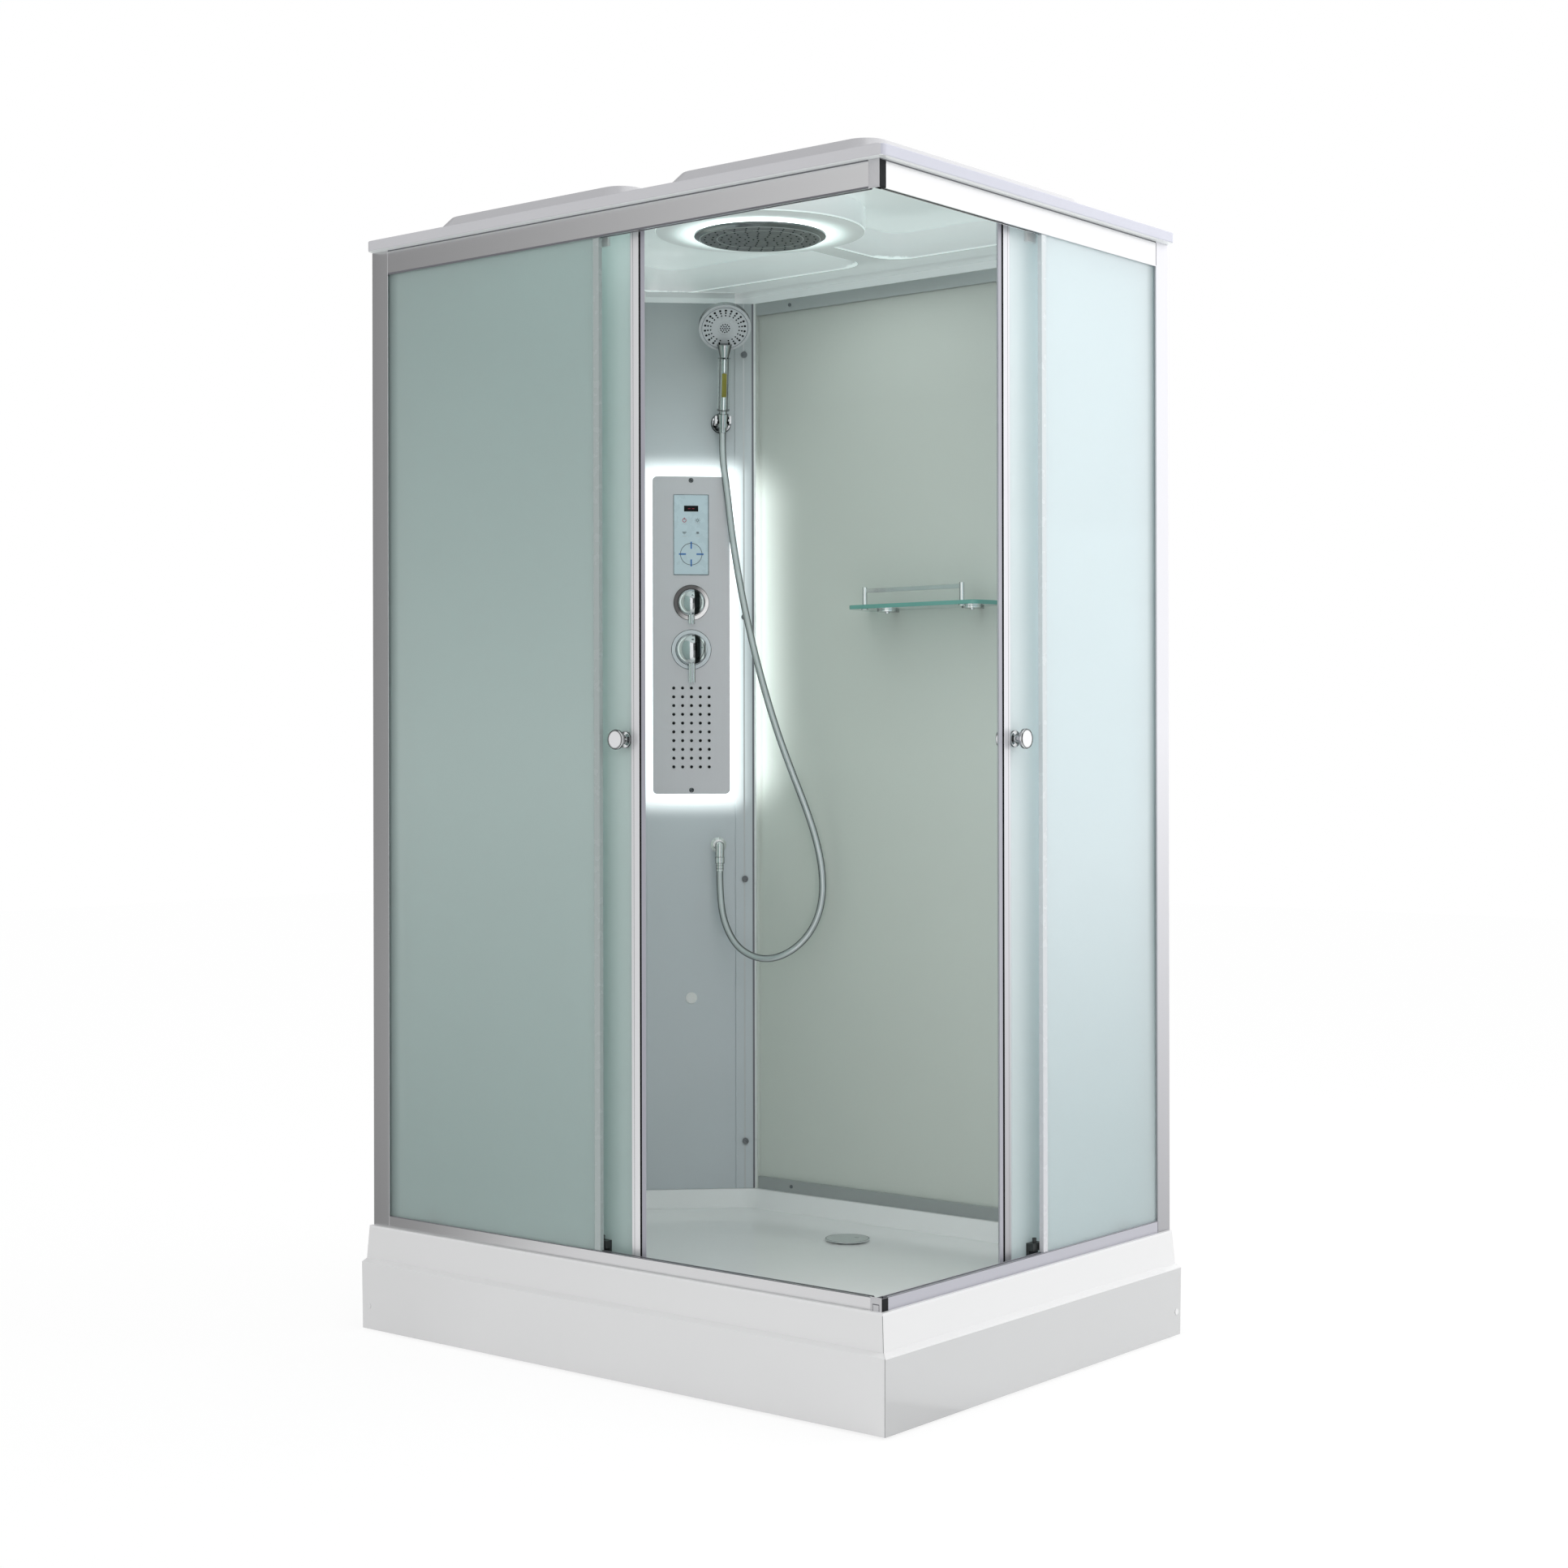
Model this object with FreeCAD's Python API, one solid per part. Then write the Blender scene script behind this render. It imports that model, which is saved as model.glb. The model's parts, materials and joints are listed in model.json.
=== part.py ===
# Shower cabin: tray on feet, two sliding doors that meet at the open corner,
# a control column across the back corner, fixed walls and a domed roof.
# Lengths are in millimetres, +X along the long front towards the entry corner,
# +Y to the back, +Z up. The origin is on the floor at the centre of the footprint.
import FreeCAD, Part
import math
import os

V = FreeCAD.Vector
UP = V(0, 0, 1)

# Shared allowances
overrun = 3.0            # how far a cutting tool runs past what it cuts
gap = 0.35               # free space between pieces that move past each other
running = 0.05           # radial clearance of a shaft in its bore

# Overall size
cabin_length = 1200.0
cabin_depth = 900.0
lip_top = 2000.0         # top of the roof's front lip
dome_rise = 42.0         # how far the two domes stand above the roof deck
floor_gap = 4.0          # from the floor to the lower edge of the apron
apron_overhang = 27.0    # apron stands out this far from the frame
wall_setback = 3.0       # left wall stands in from the end of the apron
apron_end_setback = 6.0  # apron stops short of the back wall's plane

# Levels
rim_z = 165.0            # top of the tray rim, where sills, posts and walls stand
basin_depth = 33.0
skin = 5.0               # thickness of the tray's acrylic
sill_height = 46.0
header_height = 45.0
lip_height = 19.0
skirt_bottom = 112.0     # lower edge of the tray's own skirt

# Frame sections
wall_depth = 22.0        # depth of wall rails and wall posts
track_depth = 22.0       # depth of sill and header, from the outer face inwards
sheet = 2.0              # wall of the extruded sections
post_width = 42.0
post_depth = 30.0
rail_height = 25.0
glass = 5.0              # thickness of every pane
pane_inset = 4.0         # outer face of the frame to the fixed pane
slot_depth = 10.0        # how deep a pane sits in its slot
post_slot_depth = 8.0
web = 2.0

# Sliding doors, measured from the open corner along each face
door_pane_inset = 28.5   # outer face of the frame to the moving pane
stile_inset = 24.0
stile_depth = 14.0
stile_width = 19.0
stile_groove = 9.0
strip_width = 10.0       # mitred magnet strip on the leading edge
strip_base = 2.25
front_open_short = 110.55  # the door's travel is this much less than the fixed pane's edge to the corner
side_open_short = 122.25
front_door_lap = 24.25   # closed door behind the fixed pane
side_door_lap = 21.75
front_door_stop = 14.3   # open door to the corner post
side_door_stop = 12.5
door_above_rim = 7.0
door_into_header = 34.0
seal_width = 13.0
seal_skin = 1.6
trailing_seal = 8.0

# Rollers and their carriers
wheel_radius = 9.5
wheel_width = 6.5
wheel_inset = 12.0       # outer face of the frame to the wheel
wheel_groove = 1.0
wheel_groove_width = 2.5
axle_radius = 2.5
axle_head_radius = 4.0
axle_head = 0.9
roller_from_edge = 96.0
carrier_width = 28.0
carrier_depth = 5.5
carrier_rise = 8.2       # carrier above the axle of a top roller
carrier_drop = 32.8      # carrier below the axle of a top roller
foot_drop = 6.8          # carrier below the axle of a bottom roller
housing_base = 213.0     # release housing that stands above the sill
housing_height = 13.0
housing_depth = 14.5
bolt_radius = 4.0
bolt_hole_radius = 5.0
bolt_cap_radius = 8.0
bolt_cap = 3.5
bolt_rise = 22.0         # bolt above the axle of a bottom roller
bolt_drop = 14.0         # bolt below the axle of a top roller
button_radius = 3.5
button_height = 12.5
button_travel = 4.0
button_seat = 4.5        # length of button inside its bore at rest
button_inset = 21.0

# Door knobs
knob_z = 1081.0
knob_from_edge = 48.0
knob_disc_radius = 17.0
knob_disc = 6.0
knob_crown = 1.5
knob_waist_radius = 8.0
knob_ring_radius = 14.0
knob_ring = 4.0
knob_length = 27.0
inner_knob_length = 22.0

# Column across the back corner
column_leg = 227.4       # from the back corner along each wall to the panel's plane
column_half = 91.0       # half of the panel's width between the two posts
panel_thick = 4.0
column_post_proud = 2.0
column_post_back = 20.0
column_post_return = 6.0
plate_width = 158.0
plate_bottom = 975.0
plate_height = 649.0
plate_corner = 10.0
plate_thick = 1.5
plate_standoff = 16.0
plate_screw_inset = 8.0
light_inset = 7.0
light_wall = 8.0
touch_width = 72.6
touch_height = 165.0
touch_bottom = 1422.0
touch_thick = 3.0
touch_corner = 3.0
jet_columns = 5
jet_rows = 10
jet_pitch_x = 18.1
jet_pitch_z = 17.9
jets_below_mixer = 78.5  # from the mixer's axis down to the top row
jet_radius = 2.6
jet_proud = 1.2
jet_clear = 0.2
manifold_margin = 12.0

# Valves
mixer_z = 1270.0
diverter_z = 1366.0
mixer_plate_radius = 41.0
diverter_plate_radius = 36.5
escutcheon = 2.5
stem_radius = 12.0
collar_radius = 20.0
collar_length = 10.0
ear_width = 10.0
ear_height = 11.0
ear_half = 7.0
hinge_pin_radius = 2.5
mixer_dome_radius = 31.0
mixer_skirt = 8.5
mixer_dome_rise = 18.0
mixer_shell = 4.0
mixer_rim = 11.0         # rim of the mixer dome above its escutcheon
lever_length = 37.0
lever_radius = 6.5
diverter_dome_radius = 27.0
diverter_dome_rise = 18.0
diverter_skirt = 9.0
diverter_lever = 17.0
valve_body_radius = 24.0
valve_body_length = 44.0
bar_radius = 12.0
inlet_radius = 10.45
inlet_length = 25.0
inlet_shoulder_radius = 15.0
inlet_shoulder = 5.0
inlet_half_pitch = 75.0
riser_radius = 7.0
roof_pipe_rise = 19.0     # middle of the roof pipe above the deck
roof_nut_radius = 14.0
roof_nut = 6.0
control_box_width = 130.0
control_box_height = 170.0
control_box_depth = 50.0
control_box_bottom = 1440.0
control_box_wall = 3.0

# Hose outlet, hose and handset, across and out from the column's middle
outlet_u = 56.0
outlet_z = 870.0
outlet_reach = 36.0
outlet_rosette_radius = 16.0
outlet_rosette = 4.0
outlet_tube_radius = 9.0
outlet_nut_radius = 9.5
outlet_nut = 13.0
outlet_collar_radius = 7.6
outlet_collar = 16.0
hose_diameter = 14.0
bracket_u = 63.0
bracket_z = 1735.0
bracket_reach = 50.0
bracket_rosette_radius = 21.0
bracket_rosette = 7.0
bracket_neck_radius = 9.0
fork_back = 22.0
fork_front = 7.0
fork_wall = 4.0
fork_half_height = 8.0
cup_radius = 11.0
cup_half_length = 13.0
trunnion_radius = 3.0
handset_tilt = 17.5      # degrees, handle leans out at the top
head_tilt = 39.0         # degrees, spray face looks down
handle_radius = 13.0
handle_core_radius = 6.5
handle_end_radius = 8.0
handle_start = 20.0      # from the swivel up to the handle's sleeve
handle_sleeve = 106.0
neck_length = 28.0
head_reach = 186.0       # from the swivel to the middle of the spray face
head_radius = 52.5
head_thick = 20.0
face_radius = 49.0
face_thick = 3.0
tail_length = 24.0       # from the swivel down to the hose

# Hose route from the handset to the outlet: across, out and up, on the column
hose_first_run = 50.0    # straight out of the handset's tail
hose_route = [
    (72, 34, 1598), (80, 42, 1516), (91, 53, 1434), (106, 65, 1348), (124, 78, 1262),
    (145, 92, 1178), (168, 106, 1098), (194, 120, 1023), (220, 132, 954), (241, 141, 889),
    (254, 145, 824), (254, 146, 760), (234, 142, 702), (192, 131, 658), (140, 112, 640),
    (91, 87, 660), (64, 60, 708), (56, 36, 766), (56, 36, 818),
]
arc_share = 0.45         # of the shorter run, taken by each arc

# Shelf on the back wall
shelf_x = 69.0
shelf_top = 1346.0
shelf_thick = 8.0
shelf_depth = 95.0
shelf_front_half = 150.0
shelf_back_half = 172.0
shelf_corner = 14.0
shelf_disc_radius = 20.0
shelf_disc = 4.0
shelf_disc_half_pitch = 101.0
shelf_disc_from_wall = 32.0
shelf_arm_width = 12.0
shelf_screw_radius = 4.0
shelf_screw = 3.0
guard_half_pitch = 115.0
guard_from_front = 9.0
guard_post_radius = 4.5
guard_height = 34.0
guard_bar = 8.0
guard_bar_thick = 3.0
guard_bar_drop = 3.0

# Tray, its frame, feet and trap
front_rim = 52.0         # width of the tray rim under the doors
wall_rim = 30.0
column_rim = 8.0
basin_slope = 28.0
basin_corner = 70.0
drain_x = 0.0
drain_inset = 218.0      # middle of the drain to the back wall's plane
drain_hole_radius = 30.0
drain_cover_radius = 42.0
drain_cover = 2.5
drain_cover_rise = 3.5
drain_neck_radius = 27.0
drain_neck_wall = 3.0
drain_window = 12.0
trap_radius = 46.0
trap_flange_radius = 52.0
trap_flange = 6.0
trap_wall = 3.0
trap_bottom = 42.0
outlet_pipe_radius = 20.0
outlet_pipe_wall = 2.5
outlet_pipe_z = 72.0
outlet_pipe_setback = 10.0
outlet_socket_radius = 26.0
outlet_socket = 58.0     # flat end of the socket to the middle of the trap
tube = 25.0
tube_wall = 2.0
frame_inset_x = 93.0
frame_inset_front = 123.0
frame_inset_back = 100.0
frame_bar_shares = (0, 1 / 3, 2 / 3, 1)  # cross bars, as shares of the frame's length
foot_rod_radius = 6.0
foot_pad_radius = 25.0
foot_pad = 8.0
foot_nut_radius = 10.0
foot_nut = 8.0

# Apron section: how far each edge stands out from the frame, and how high it is
apron_skin = 4.0
band_bottom_out = 25.0
band_top_z = 126.0
step_z = 131.0
step_out = 15.0
apron_top_z = 190.0
apron_top_out = 8.0
apron_screw_radius = 5.5
apron_screw = 1.0
apron_screw_z = 47.0
apron_screw_inset = 15.0

# Clips and screws
clip_radius = 6.5
clip_height = 5.0
clip_above_sill = 51.0   # lowest cap over the sill, and highest cap under the header
clip_below_header = 60.0
clip_count = 4
screw_radius = 3.5
screw_head = 1.6
rail_screw_x = -295.0
plug_radius = 11.5       # white plug low on the column panel
plug_thick = 3.0
plug_z = 557.0

# Roof
lip_out = 17.0
lip_corner = 14.0
roof_skin = 4.0
roof_rim = 24.0
deck_rise = 8.0
deck_inset = 24.0
deck_slope = 12.0
deck_corner = 30.0
dome_front_inset = 64.0
dome_back_inset = 100.0
dome_left_inset = 45.0
dome_right_inset = 74.0
dome_half_gap = 20.0
dome_slope = 36.0
dome_corner = 60.0
boss_radius = 187.0

# Rain shower in the ceiling
rain_x = 0.0
rain_y = -22.0
rain_radius = 120.0
rain_rim = 10.0
rain_rim_height = 8.0
rain_dish = 4.0
rain_drop = 12.0         # rim below the ceiling
rain_face = 2.0
rain_neck_radius = 78.0
ring_light_radius = 112.0
rain_inlet_radius = 10.45
rain_inlet_length = 14.0

# Planes and levels worked out from the sizes above
side_x = cabin_length / 2 - apron_overhang
front_y = apron_overhang - cabin_depth / 2
left_x = wall_setback - cabin_length / 2
back_y = cabin_depth / 2
sill_top = rim_z + sill_height
header_top = lip_top - lip_height
header_bottom = header_top - header_height
basin_z = rim_z - basin_depth
tray_under = basin_z - skin
deck_top = lip_top + deck_rise
ceiling_z = deck_top - roof_skin
front_run = side_x - left_x
side_run = back_y - front_y
wall_y = back_y - wall_depth
wall_x = left_x + wall_depth
root2 = math.sqrt(2)
column_x = left_x + column_leg / 2
column_y = back_y - column_leg / 2
mitre_gap = gap / root2
door_closed = stile_inset + sheet + mitre_gap
front_pane_start = (front_run - post_width - front_door_stop + front_open_short - front_door_lap) / 2
side_pane_start = (side_run - post_width - side_door_stop + side_open_short - side_door_lap) / 2
door_bottom = rim_z + door_above_rim
door_top = header_bottom + door_into_header
jet_top = mixer_z - jets_below_mixer
clip_first_z = sill_top + clip_above_sill
clip_last_z = header_bottom - clip_below_header
front_door_width = front_pane_start - door_closed + front_door_lap
side_door_width = side_pane_start - door_closed + side_door_lap
front_door_rest = front_run - post_width - front_door_stop - front_door_width
side_door_rest = side_run - post_width - side_door_stop - side_door_width
front_travel = front_door_rest - door_closed
side_travel = side_door_rest - door_closed
drain_y = back_y - drain_inset
outlet_pipe_end = back_y - outlet_pipe_setback
track_floor = header_bottom + slot_depth + web
top_axle_z = track_floor + gap + wheel_radius
bottom_axle_z = rim_z + sheet + gap + wheel_radius


def block(x0, x1, y0, y1, z0, z1):
    """A box between two corners."""
    return Part.makeBox(x1 - x0, y1 - y0, z1 - z0, V(x0, y0, z0))


def rod(radius, length, start, axis=UP):
    return Part.makeCylinder(radius, length, start, axis)


def pipe(outer, wall, length, start, axis=UP):
    return rod(outer, length, start, axis).cut(rod(outer - wall, length, start, axis))


def outline(points, radius, z):
    """A closed flat wire through the points, with each corner rounded alike."""
    corners = [V(x, y, z) for x, y in points]
    count = len(corners)
    ends = []
    for i, corner in enumerate(corners):
        before = (corners[i - 1] - corner).normalize()
        after = (corners[(i + 1) % count] - corner).normalize()
        half = before.getAngle(after) / 2
        reach = radius / math.tan(half)
        middle = (before + after).normalize()
        centre = corner + middle * (radius / math.sin(half))
        ends.append((corner + before * reach, centre - middle * radius, corner + after * reach))
    edges = []
    for i, (start, middle, end) in enumerate(ends):
        edges.append(Part.Arc(start, middle, end).toShape())
        edges.append(Part.makeLine(end, ends[(i + 1) % count][0]))
    return Part.Wire(edges)


def prism(points, z0, z1):
    """An upright solid on a flat polygon."""
    corners = [V(x, y, z0) for x, y in points]
    face = Part.Face(Part.makePolygon(corners + corners[:1]))
    return face.extrude(V(0, 0, z1 - z0))


def rounded_prism(points, radius, z0, z1):
    return Part.Face(outline(points, radius, z0)).extrude(V(0, 0, z1 - z0))


def rounded_loft(low_points, low_radius, low_z, high_points, high_radius, high_z):
    low = outline(low_points, low_radius, low_z)
    high = outline(high_points, high_radius, high_z)
    return Part.makeLoft([low, high], True, True)


def turned(profile, start, axis):
    """A turned solid: the profile lists (radius, height along the axis) points."""
    corners = [V(r, 0, h) for r, h in profile]
    face = Part.Face(Part.makePolygon(corners + corners[:1]))
    solid = face.revolve(V(0, 0, 0), UP, 360)
    solid.Placement = FreeCAD.Placement(start, FreeCAD.Rotation(UP, axis))
    return solid


def dome_profile(radius, base, rise, steps):
    """Profile points of a crown from its edge up to the axis."""
    points = []
    for i in range(steps + 1):
        turn = math.pi / 2 * i / steps
        points.append((radius * math.cos(turn), base + rise * math.sin(turn)))
    return points


def joined(pieces):
    whole = pieces[0]
    for piece in pieces[1:]:
        whole = whole.fuse(piece)
    return whole.removeSplitter()


def carved(shape, tools):
    for tool in tools:
        shape = shape.cut(tool)
    return shape


def rectangle(x0, x1, y0, y1):
    return [(x0, y0), (x1, y0), (x1, y1), (x0, y1)]


def on_front(shape):
    """Place a shape made at the corner, with -X along the face and +Y inwards."""
    shape = shape.copy()
    shape.translate(V(side_x, front_y, 0))
    return shape


def on_side(shape):
    shape = shape.mirror(V(0, 0, 0), V(1, 1, 0))
    shape.translate(V(side_x, front_y, 0))
    return shape


def on_column(shape):
    """Place a shape made on the column: +X across, -Y out into the cabin, +Z up."""
    shape = shape.copy()
    shape.rotate(V(0, 0, 0), UP, 45)
    shape.translate(V(column_x, column_y, 0))
    return shape


def face_block(a0, a1, b0, b1, z0, z1):
    """A box on a door face: a along the face from the corner, b inwards."""
    return block(-a1, -a0, b0, b1, z0, z1)


def sill_section(start, end):
    """Lower track: outer wall, floor, inner lip and the slot for the fixed pane."""
    slot_in = pane_inset - gap
    slot_out = pane_inset + glass + gap
    parts = [
        face_block(start, end, 0, sheet, rim_z, sill_top),
        face_block(start, end, 0, track_depth, rim_z, rim_z + sheet),
        face_block(start, end, track_depth - sheet, track_depth, rim_z, rim_z + web * 3),
        face_block(start, end, 0, slot_out + web, sill_top - slot_depth - web, sill_top - slot_depth),
        face_block(start, end, slot_out, slot_out + web, sill_top - slot_depth - web, sill_top),
        face_block(start, end, sheet, slot_in, sill_top - slot_depth - web, sill_top),
    ]
    return joined(parts)


def header_section(start, end):
    """Upper track: outer wall, roof, wheel floor with lip and the pane slot."""
    slot_in = pane_inset - gap
    slot_out = pane_inset + glass + gap
    lip = track_depth - sheet
    parts = [
        face_block(start, end, 0, sheet, header_bottom, header_top),
        face_block(start, end, 0, track_depth, header_top - sheet, header_top),
        face_block(start, end, lip, track_depth, header_top - rail_height / 2, header_top),
        face_block(start, end, 0, track_depth, track_floor - web, track_floor),
        face_block(start, end, lip, track_depth, track_floor - web, track_floor + web * 2),
        face_block(start, end, slot_out, slot_out + web, header_bottom, track_floor),
        face_block(start, end, sheet, slot_in, header_bottom, track_floor),
    ]
    return joined(parts)


def corner_post(run):
    """Hollow post with a slot for the fixed pane."""
    start = run - post_width
    slot_out = pane_inset + glass + gap
    shell = face_block(start, run, 0, post_depth, rim_z, header_top)
    hollow = face_block(start + sheet, run - sheet, slot_out + web, post_depth - sheet,
                        rim_z - overrun, header_top + overrun)
    slot = face_block(start - overrun, start + post_slot_depth, pane_inset - gap, slot_out,
                      rim_z - overrun, header_top + overrun)
    return carved(shell, [hollow, slot])


def corner_caps():
    """End caps of the side tracks, seen from the front at the open corner."""
    sill_plug = (rim_z + sheet * 2, sill_top - slot_depth - web - gap)
    header_plug = (track_floor + gap, header_top - sheet * 2)
    caps = []
    for low, high, plug in ((rim_z, sill_top, sill_plug), (header_bottom, header_top, header_plug)):
        plate = face_block(0, track_depth, 0, sheet, low, high)
        tongue = face_block(sheet + gap, track_depth - sheet - gap, sheet, sheet + slot_depth, *plug)
        caps.append(on_front(plate.fuse(tongue)))
    return caps


def fixed_pane(start, run):
    return face_block(start + seal_skin, run - post_width + post_slot_depth - gap,
                      pane_inset, pane_inset + glass,
                      sill_top - slot_depth + gap, header_bottom + slot_depth - gap)


def pane_seal(start):
    """Clear strip round the free edge of a fixed pane."""
    low = sill_top + gap
    high = header_bottom - gap
    strip = face_block(start, start + seal_width, pane_inset - seal_skin,
                       pane_inset + glass + seal_skin, low, high)
    pane = face_block(start + seal_skin, start + seal_width + overrun, pane_inset,
                      pane_inset + glass, low - overrun, high + overrun)
    return strip.cut(pane)


def door_pane(rest, width):
    """Moving pane, drilled for its four carriers and its knob."""
    start = rest + strip_width + strip_base + stile_width - stile_groove
    end = rest + width - seal_skin
    pane = face_block(start, end, door_pane_inset, door_pane_inset + glass, door_bottom, door_top)
    holes = []
    for a, z in bolt_places(rest, width):
        holes.append(rod(bolt_hole_radius, glass + overrun * 2,
                         V(-a, door_pane_inset - overrun, z), V(0, 1, 0)))
    holes.append(rod(bolt_hole_radius, glass + overrun * 2,
                     V(-(rest + knob_from_edge), door_pane_inset - overrun, knob_z), V(0, 1, 0)))
    return carved(pane, holes)


def roller_edges(rest, width):
    return (rest + roller_from_edge, rest + width - roller_from_edge)


def bolt_places(rest, width):
    places = []
    for a in roller_edges(rest, width):
        places.append((a, top_axle_z - bolt_drop))
        places.append((a, bottom_axle_z + bolt_rise))
    return places


def door_stile(rest, width):
    """Leading profile with its mitred magnet strip, and the trailing edge seal."""
    body_start = rest + strip_width + strip_base
    body = face_block(body_start, body_start + stile_width, stile_inset,
                      stile_inset + stile_depth, door_bottom, door_top)
    groove = face_block(body_start + stile_width - stile_groove, body_start + stile_width + overrun,
                        door_pane_inset, door_pane_inset + glass,
                        door_bottom - overrun, door_top + overrun)
    low_b = stile_inset + sheet
    high_b = low_b + strip_width
    strip = prism([(-rest, low_b), (-(rest + strip_width), high_b),
                   (-body_start, high_b), (-body_start, low_b)], door_bottom, door_top)
    tail = rest + width
    wrap = face_block(tail - trailing_seal, tail, door_pane_inset - seal_skin,
                      door_pane_inset + glass + seal_skin, door_bottom, door_top)
    pane = face_block(tail - trailing_seal - overrun, tail - seal_skin, door_pane_inset,
                      door_pane_inset + glass, door_bottom - overrun, door_top + overrun)
    return [body.cut(groove), strip, wrap.cut(pane)]


def axle(a, z):
    """Axle that stands out from a carrier to its wheel."""
    inner = wheel_inset + wheel_width
    far = wheel_inset - gap - axle_head
    shaft = rod(axle_radius, door_pane_inset - far, V(-a, far, z), V(0, 1, 0))
    head = rod(axle_head_radius, axle_head, V(-a, far, z), V(0, 1, 0))
    collar = rod(axle_head_radius, door_pane_inset - inner - gap, V(-a, inner + gap, z), V(0, 1, 0))
    return [shaft, head, collar]


def bolt(a, z):
    """Bolt through the pane with its round cap inside."""
    inner = door_pane_inset + glass
    shank = rod(bolt_radius, glass + carrier_depth, V(-a, door_pane_inset - carrier_depth, z), V(0, 1, 0))
    cap = rod(bolt_cap_radius, bolt_cap, V(-a, inner, z), V(0, 1, 0))
    return [shank, cap]


def door_carriers(rest, width):
    carriers = []
    outer = door_pane_inset - carrier_depth
    for a in roller_edges(rest, width):
        left = a - carrier_width / 2
        right = a + carrier_width / 2
        top = face_block(left, right, outer, door_pane_inset,
                         top_axle_z - carrier_drop, top_axle_z + carrier_rise)
        carriers.append(joined([top] + axle(a, top_axle_z) + bolt(a, top_axle_z - bolt_drop)))
        low = face_block(left, right, outer, door_pane_inset,
                         bottom_axle_z - foot_drop, housing_base + housing_height)
        housing = face_block(left, right, door_pane_inset - housing_depth, door_pane_inset,
                             housing_base, housing_base + housing_height)
        bore_floor = button_floor() - button_travel - gap
        bore = rod(button_radius + running, housing_height, V(-a, button_inset, bore_floor))
        solid = joined([low, housing] + axle(a, bottom_axle_z) + bolt(a, bottom_axle_z + bolt_rise))
        carriers.append(solid.cut(bore))
    return carriers


def button_floor():
    return housing_base + housing_height - button_seat


def release_button(a):
    """Sprung button on a bottom carrier that frees the wheel from its track."""
    return rod(button_radius, button_height, V(-a, button_inset, button_floor()))


def wheel(a, z):
    """Grooved wheel with a running bore."""
    half = (wheel_width - wheel_groove_width) / 2
    bore = axle_radius + running
    groove = wheel_radius - wheel_groove
    profile = [
        (bore, 0), (wheel_radius, 0), (wheel_radius, half), (groove, half + wheel_groove / 2),
        (groove, wheel_width - half - wheel_groove / 2), (wheel_radius, wheel_width - half),
        (wheel_radius, wheel_width), (bore, wheel_width),
    ]
    return turned(profile, V(-a, wheel_inset, z), V(0, 1, 0))


def door_knob(rest):
    """Waisted knob outside and a shorter one inside, on one through screw."""
    a = rest + knob_from_edge
    outer_face = door_pane_inset
    inner_face = door_pane_inset + glass
    waist = knob_waist_radius
    parts = []
    sides = ((outer_face, V(0, -1, 0), knob_length), (inner_face, V(0, 1, 0), inner_knob_length))
    for start, axis, length in sides:
        disc_start = length - knob_disc
        profile = [
            (0, 0), (knob_ring_radius, 0), (knob_ring_radius, knob_ring), (waist, knob_ring + knob_crown),
            (waist, disc_start - knob_ring), (knob_disc_radius, disc_start),
            (knob_disc_radius, length - knob_crown), (knob_disc_radius - knob_crown, length), (0, length),
        ]
        parts.append(turned(profile, V(-a, start, knob_z), axis))
    parts.append(rod(bolt_radius, glass, V(-a, outer_face, knob_z), V(0, 1, 0)))
    return joined(parts)


def apron_profile():
    """Section points as (distance out from the frame, height), outside then inside."""
    out = apron_overhang
    skin_in = apron_skin
    return [
        (band_bottom_out, floor_gap), (out, band_top_z), (step_out, step_z), (apron_top_out, apron_top_z),
        (0, apron_top_z), (0, apron_top_z - skin_in), (apron_top_out - skin_in, apron_top_z - skin_in),
        (step_out - skin_in, step_z - skin_in / 2), (out - skin_in, band_top_z - skin_in / 2),
        (band_bottom_out - skin_in, floor_gap),
    ]


def apron_panel(length):
    """One apron panel from the mitred corner along its face."""
    corners = [V(apron_overhang, -out, z) for out, z in apron_profile()]
    face = Part.Face(Part.makePolygon(corners + corners[:1]))
    panel = face.extrude(V(-(length + apron_overhang), 0, 0))
    far = apron_overhang + overrun
    mitre = prism([(far, -far), (-overrun, overrun), (far, overrun)], 0, lip_top)
    return panel.cut(mitre)


def wall_rail(start, end, low):
    """Channel along a wall, open towards the pane: start and end along +X, back at y = 0."""
    pane_back = (wall_depth - glass) / 2
    body = block(start, end, -wall_depth, 0, low, low + rail_height)
    slot_low = low + sheet if low < lip_top / 2 else low - overrun
    slot_high = low + rail_height + overrun if low < lip_top / 2 else low + rail_height - sheet
    slot = block(start - overrun, end + overrun, -pane_back - glass, -pane_back, slot_low, slot_high)
    return body.cut(slot)


def wall_pane(start, end):
    pane_back = (wall_depth - glass) / 2
    return block(start, end, -pane_back - glass, -pane_back, rim_z + sheet, header_top - sheet)


def on_back(shape):
    shape = shape.copy()
    shape.translate(V(0, back_y, 0))
    return shape


def on_left(shape):
    """Turn a back-wall shape onto the left wall: +X becomes +Y."""
    shape = shape.copy()
    shape.rotate(V(0, 0, 0), UP, 90)
    shape.translate(V(left_x, 0, 0))
    return shape


def column_post_outline():
    """Post between the column panel and the back wall, across and out from the column."""
    inner = (wall_y - column_y) * root2
    outer = (back_y - column_y) * root2
    turn = column_post_return / root2
    return [
        (column_half, -column_post_proud),
        (inner + column_post_proud, -column_post_proud),
        (inner + column_post_proud + turn, -column_post_proud - turn),
        ((inner + outer) / 2 + column_post_proud + turn, (outer - inner) / 2 - column_post_proud - turn),
        (outer - column_post_back, column_post_back),
        (column_half, column_post_back),
    ]


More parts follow.
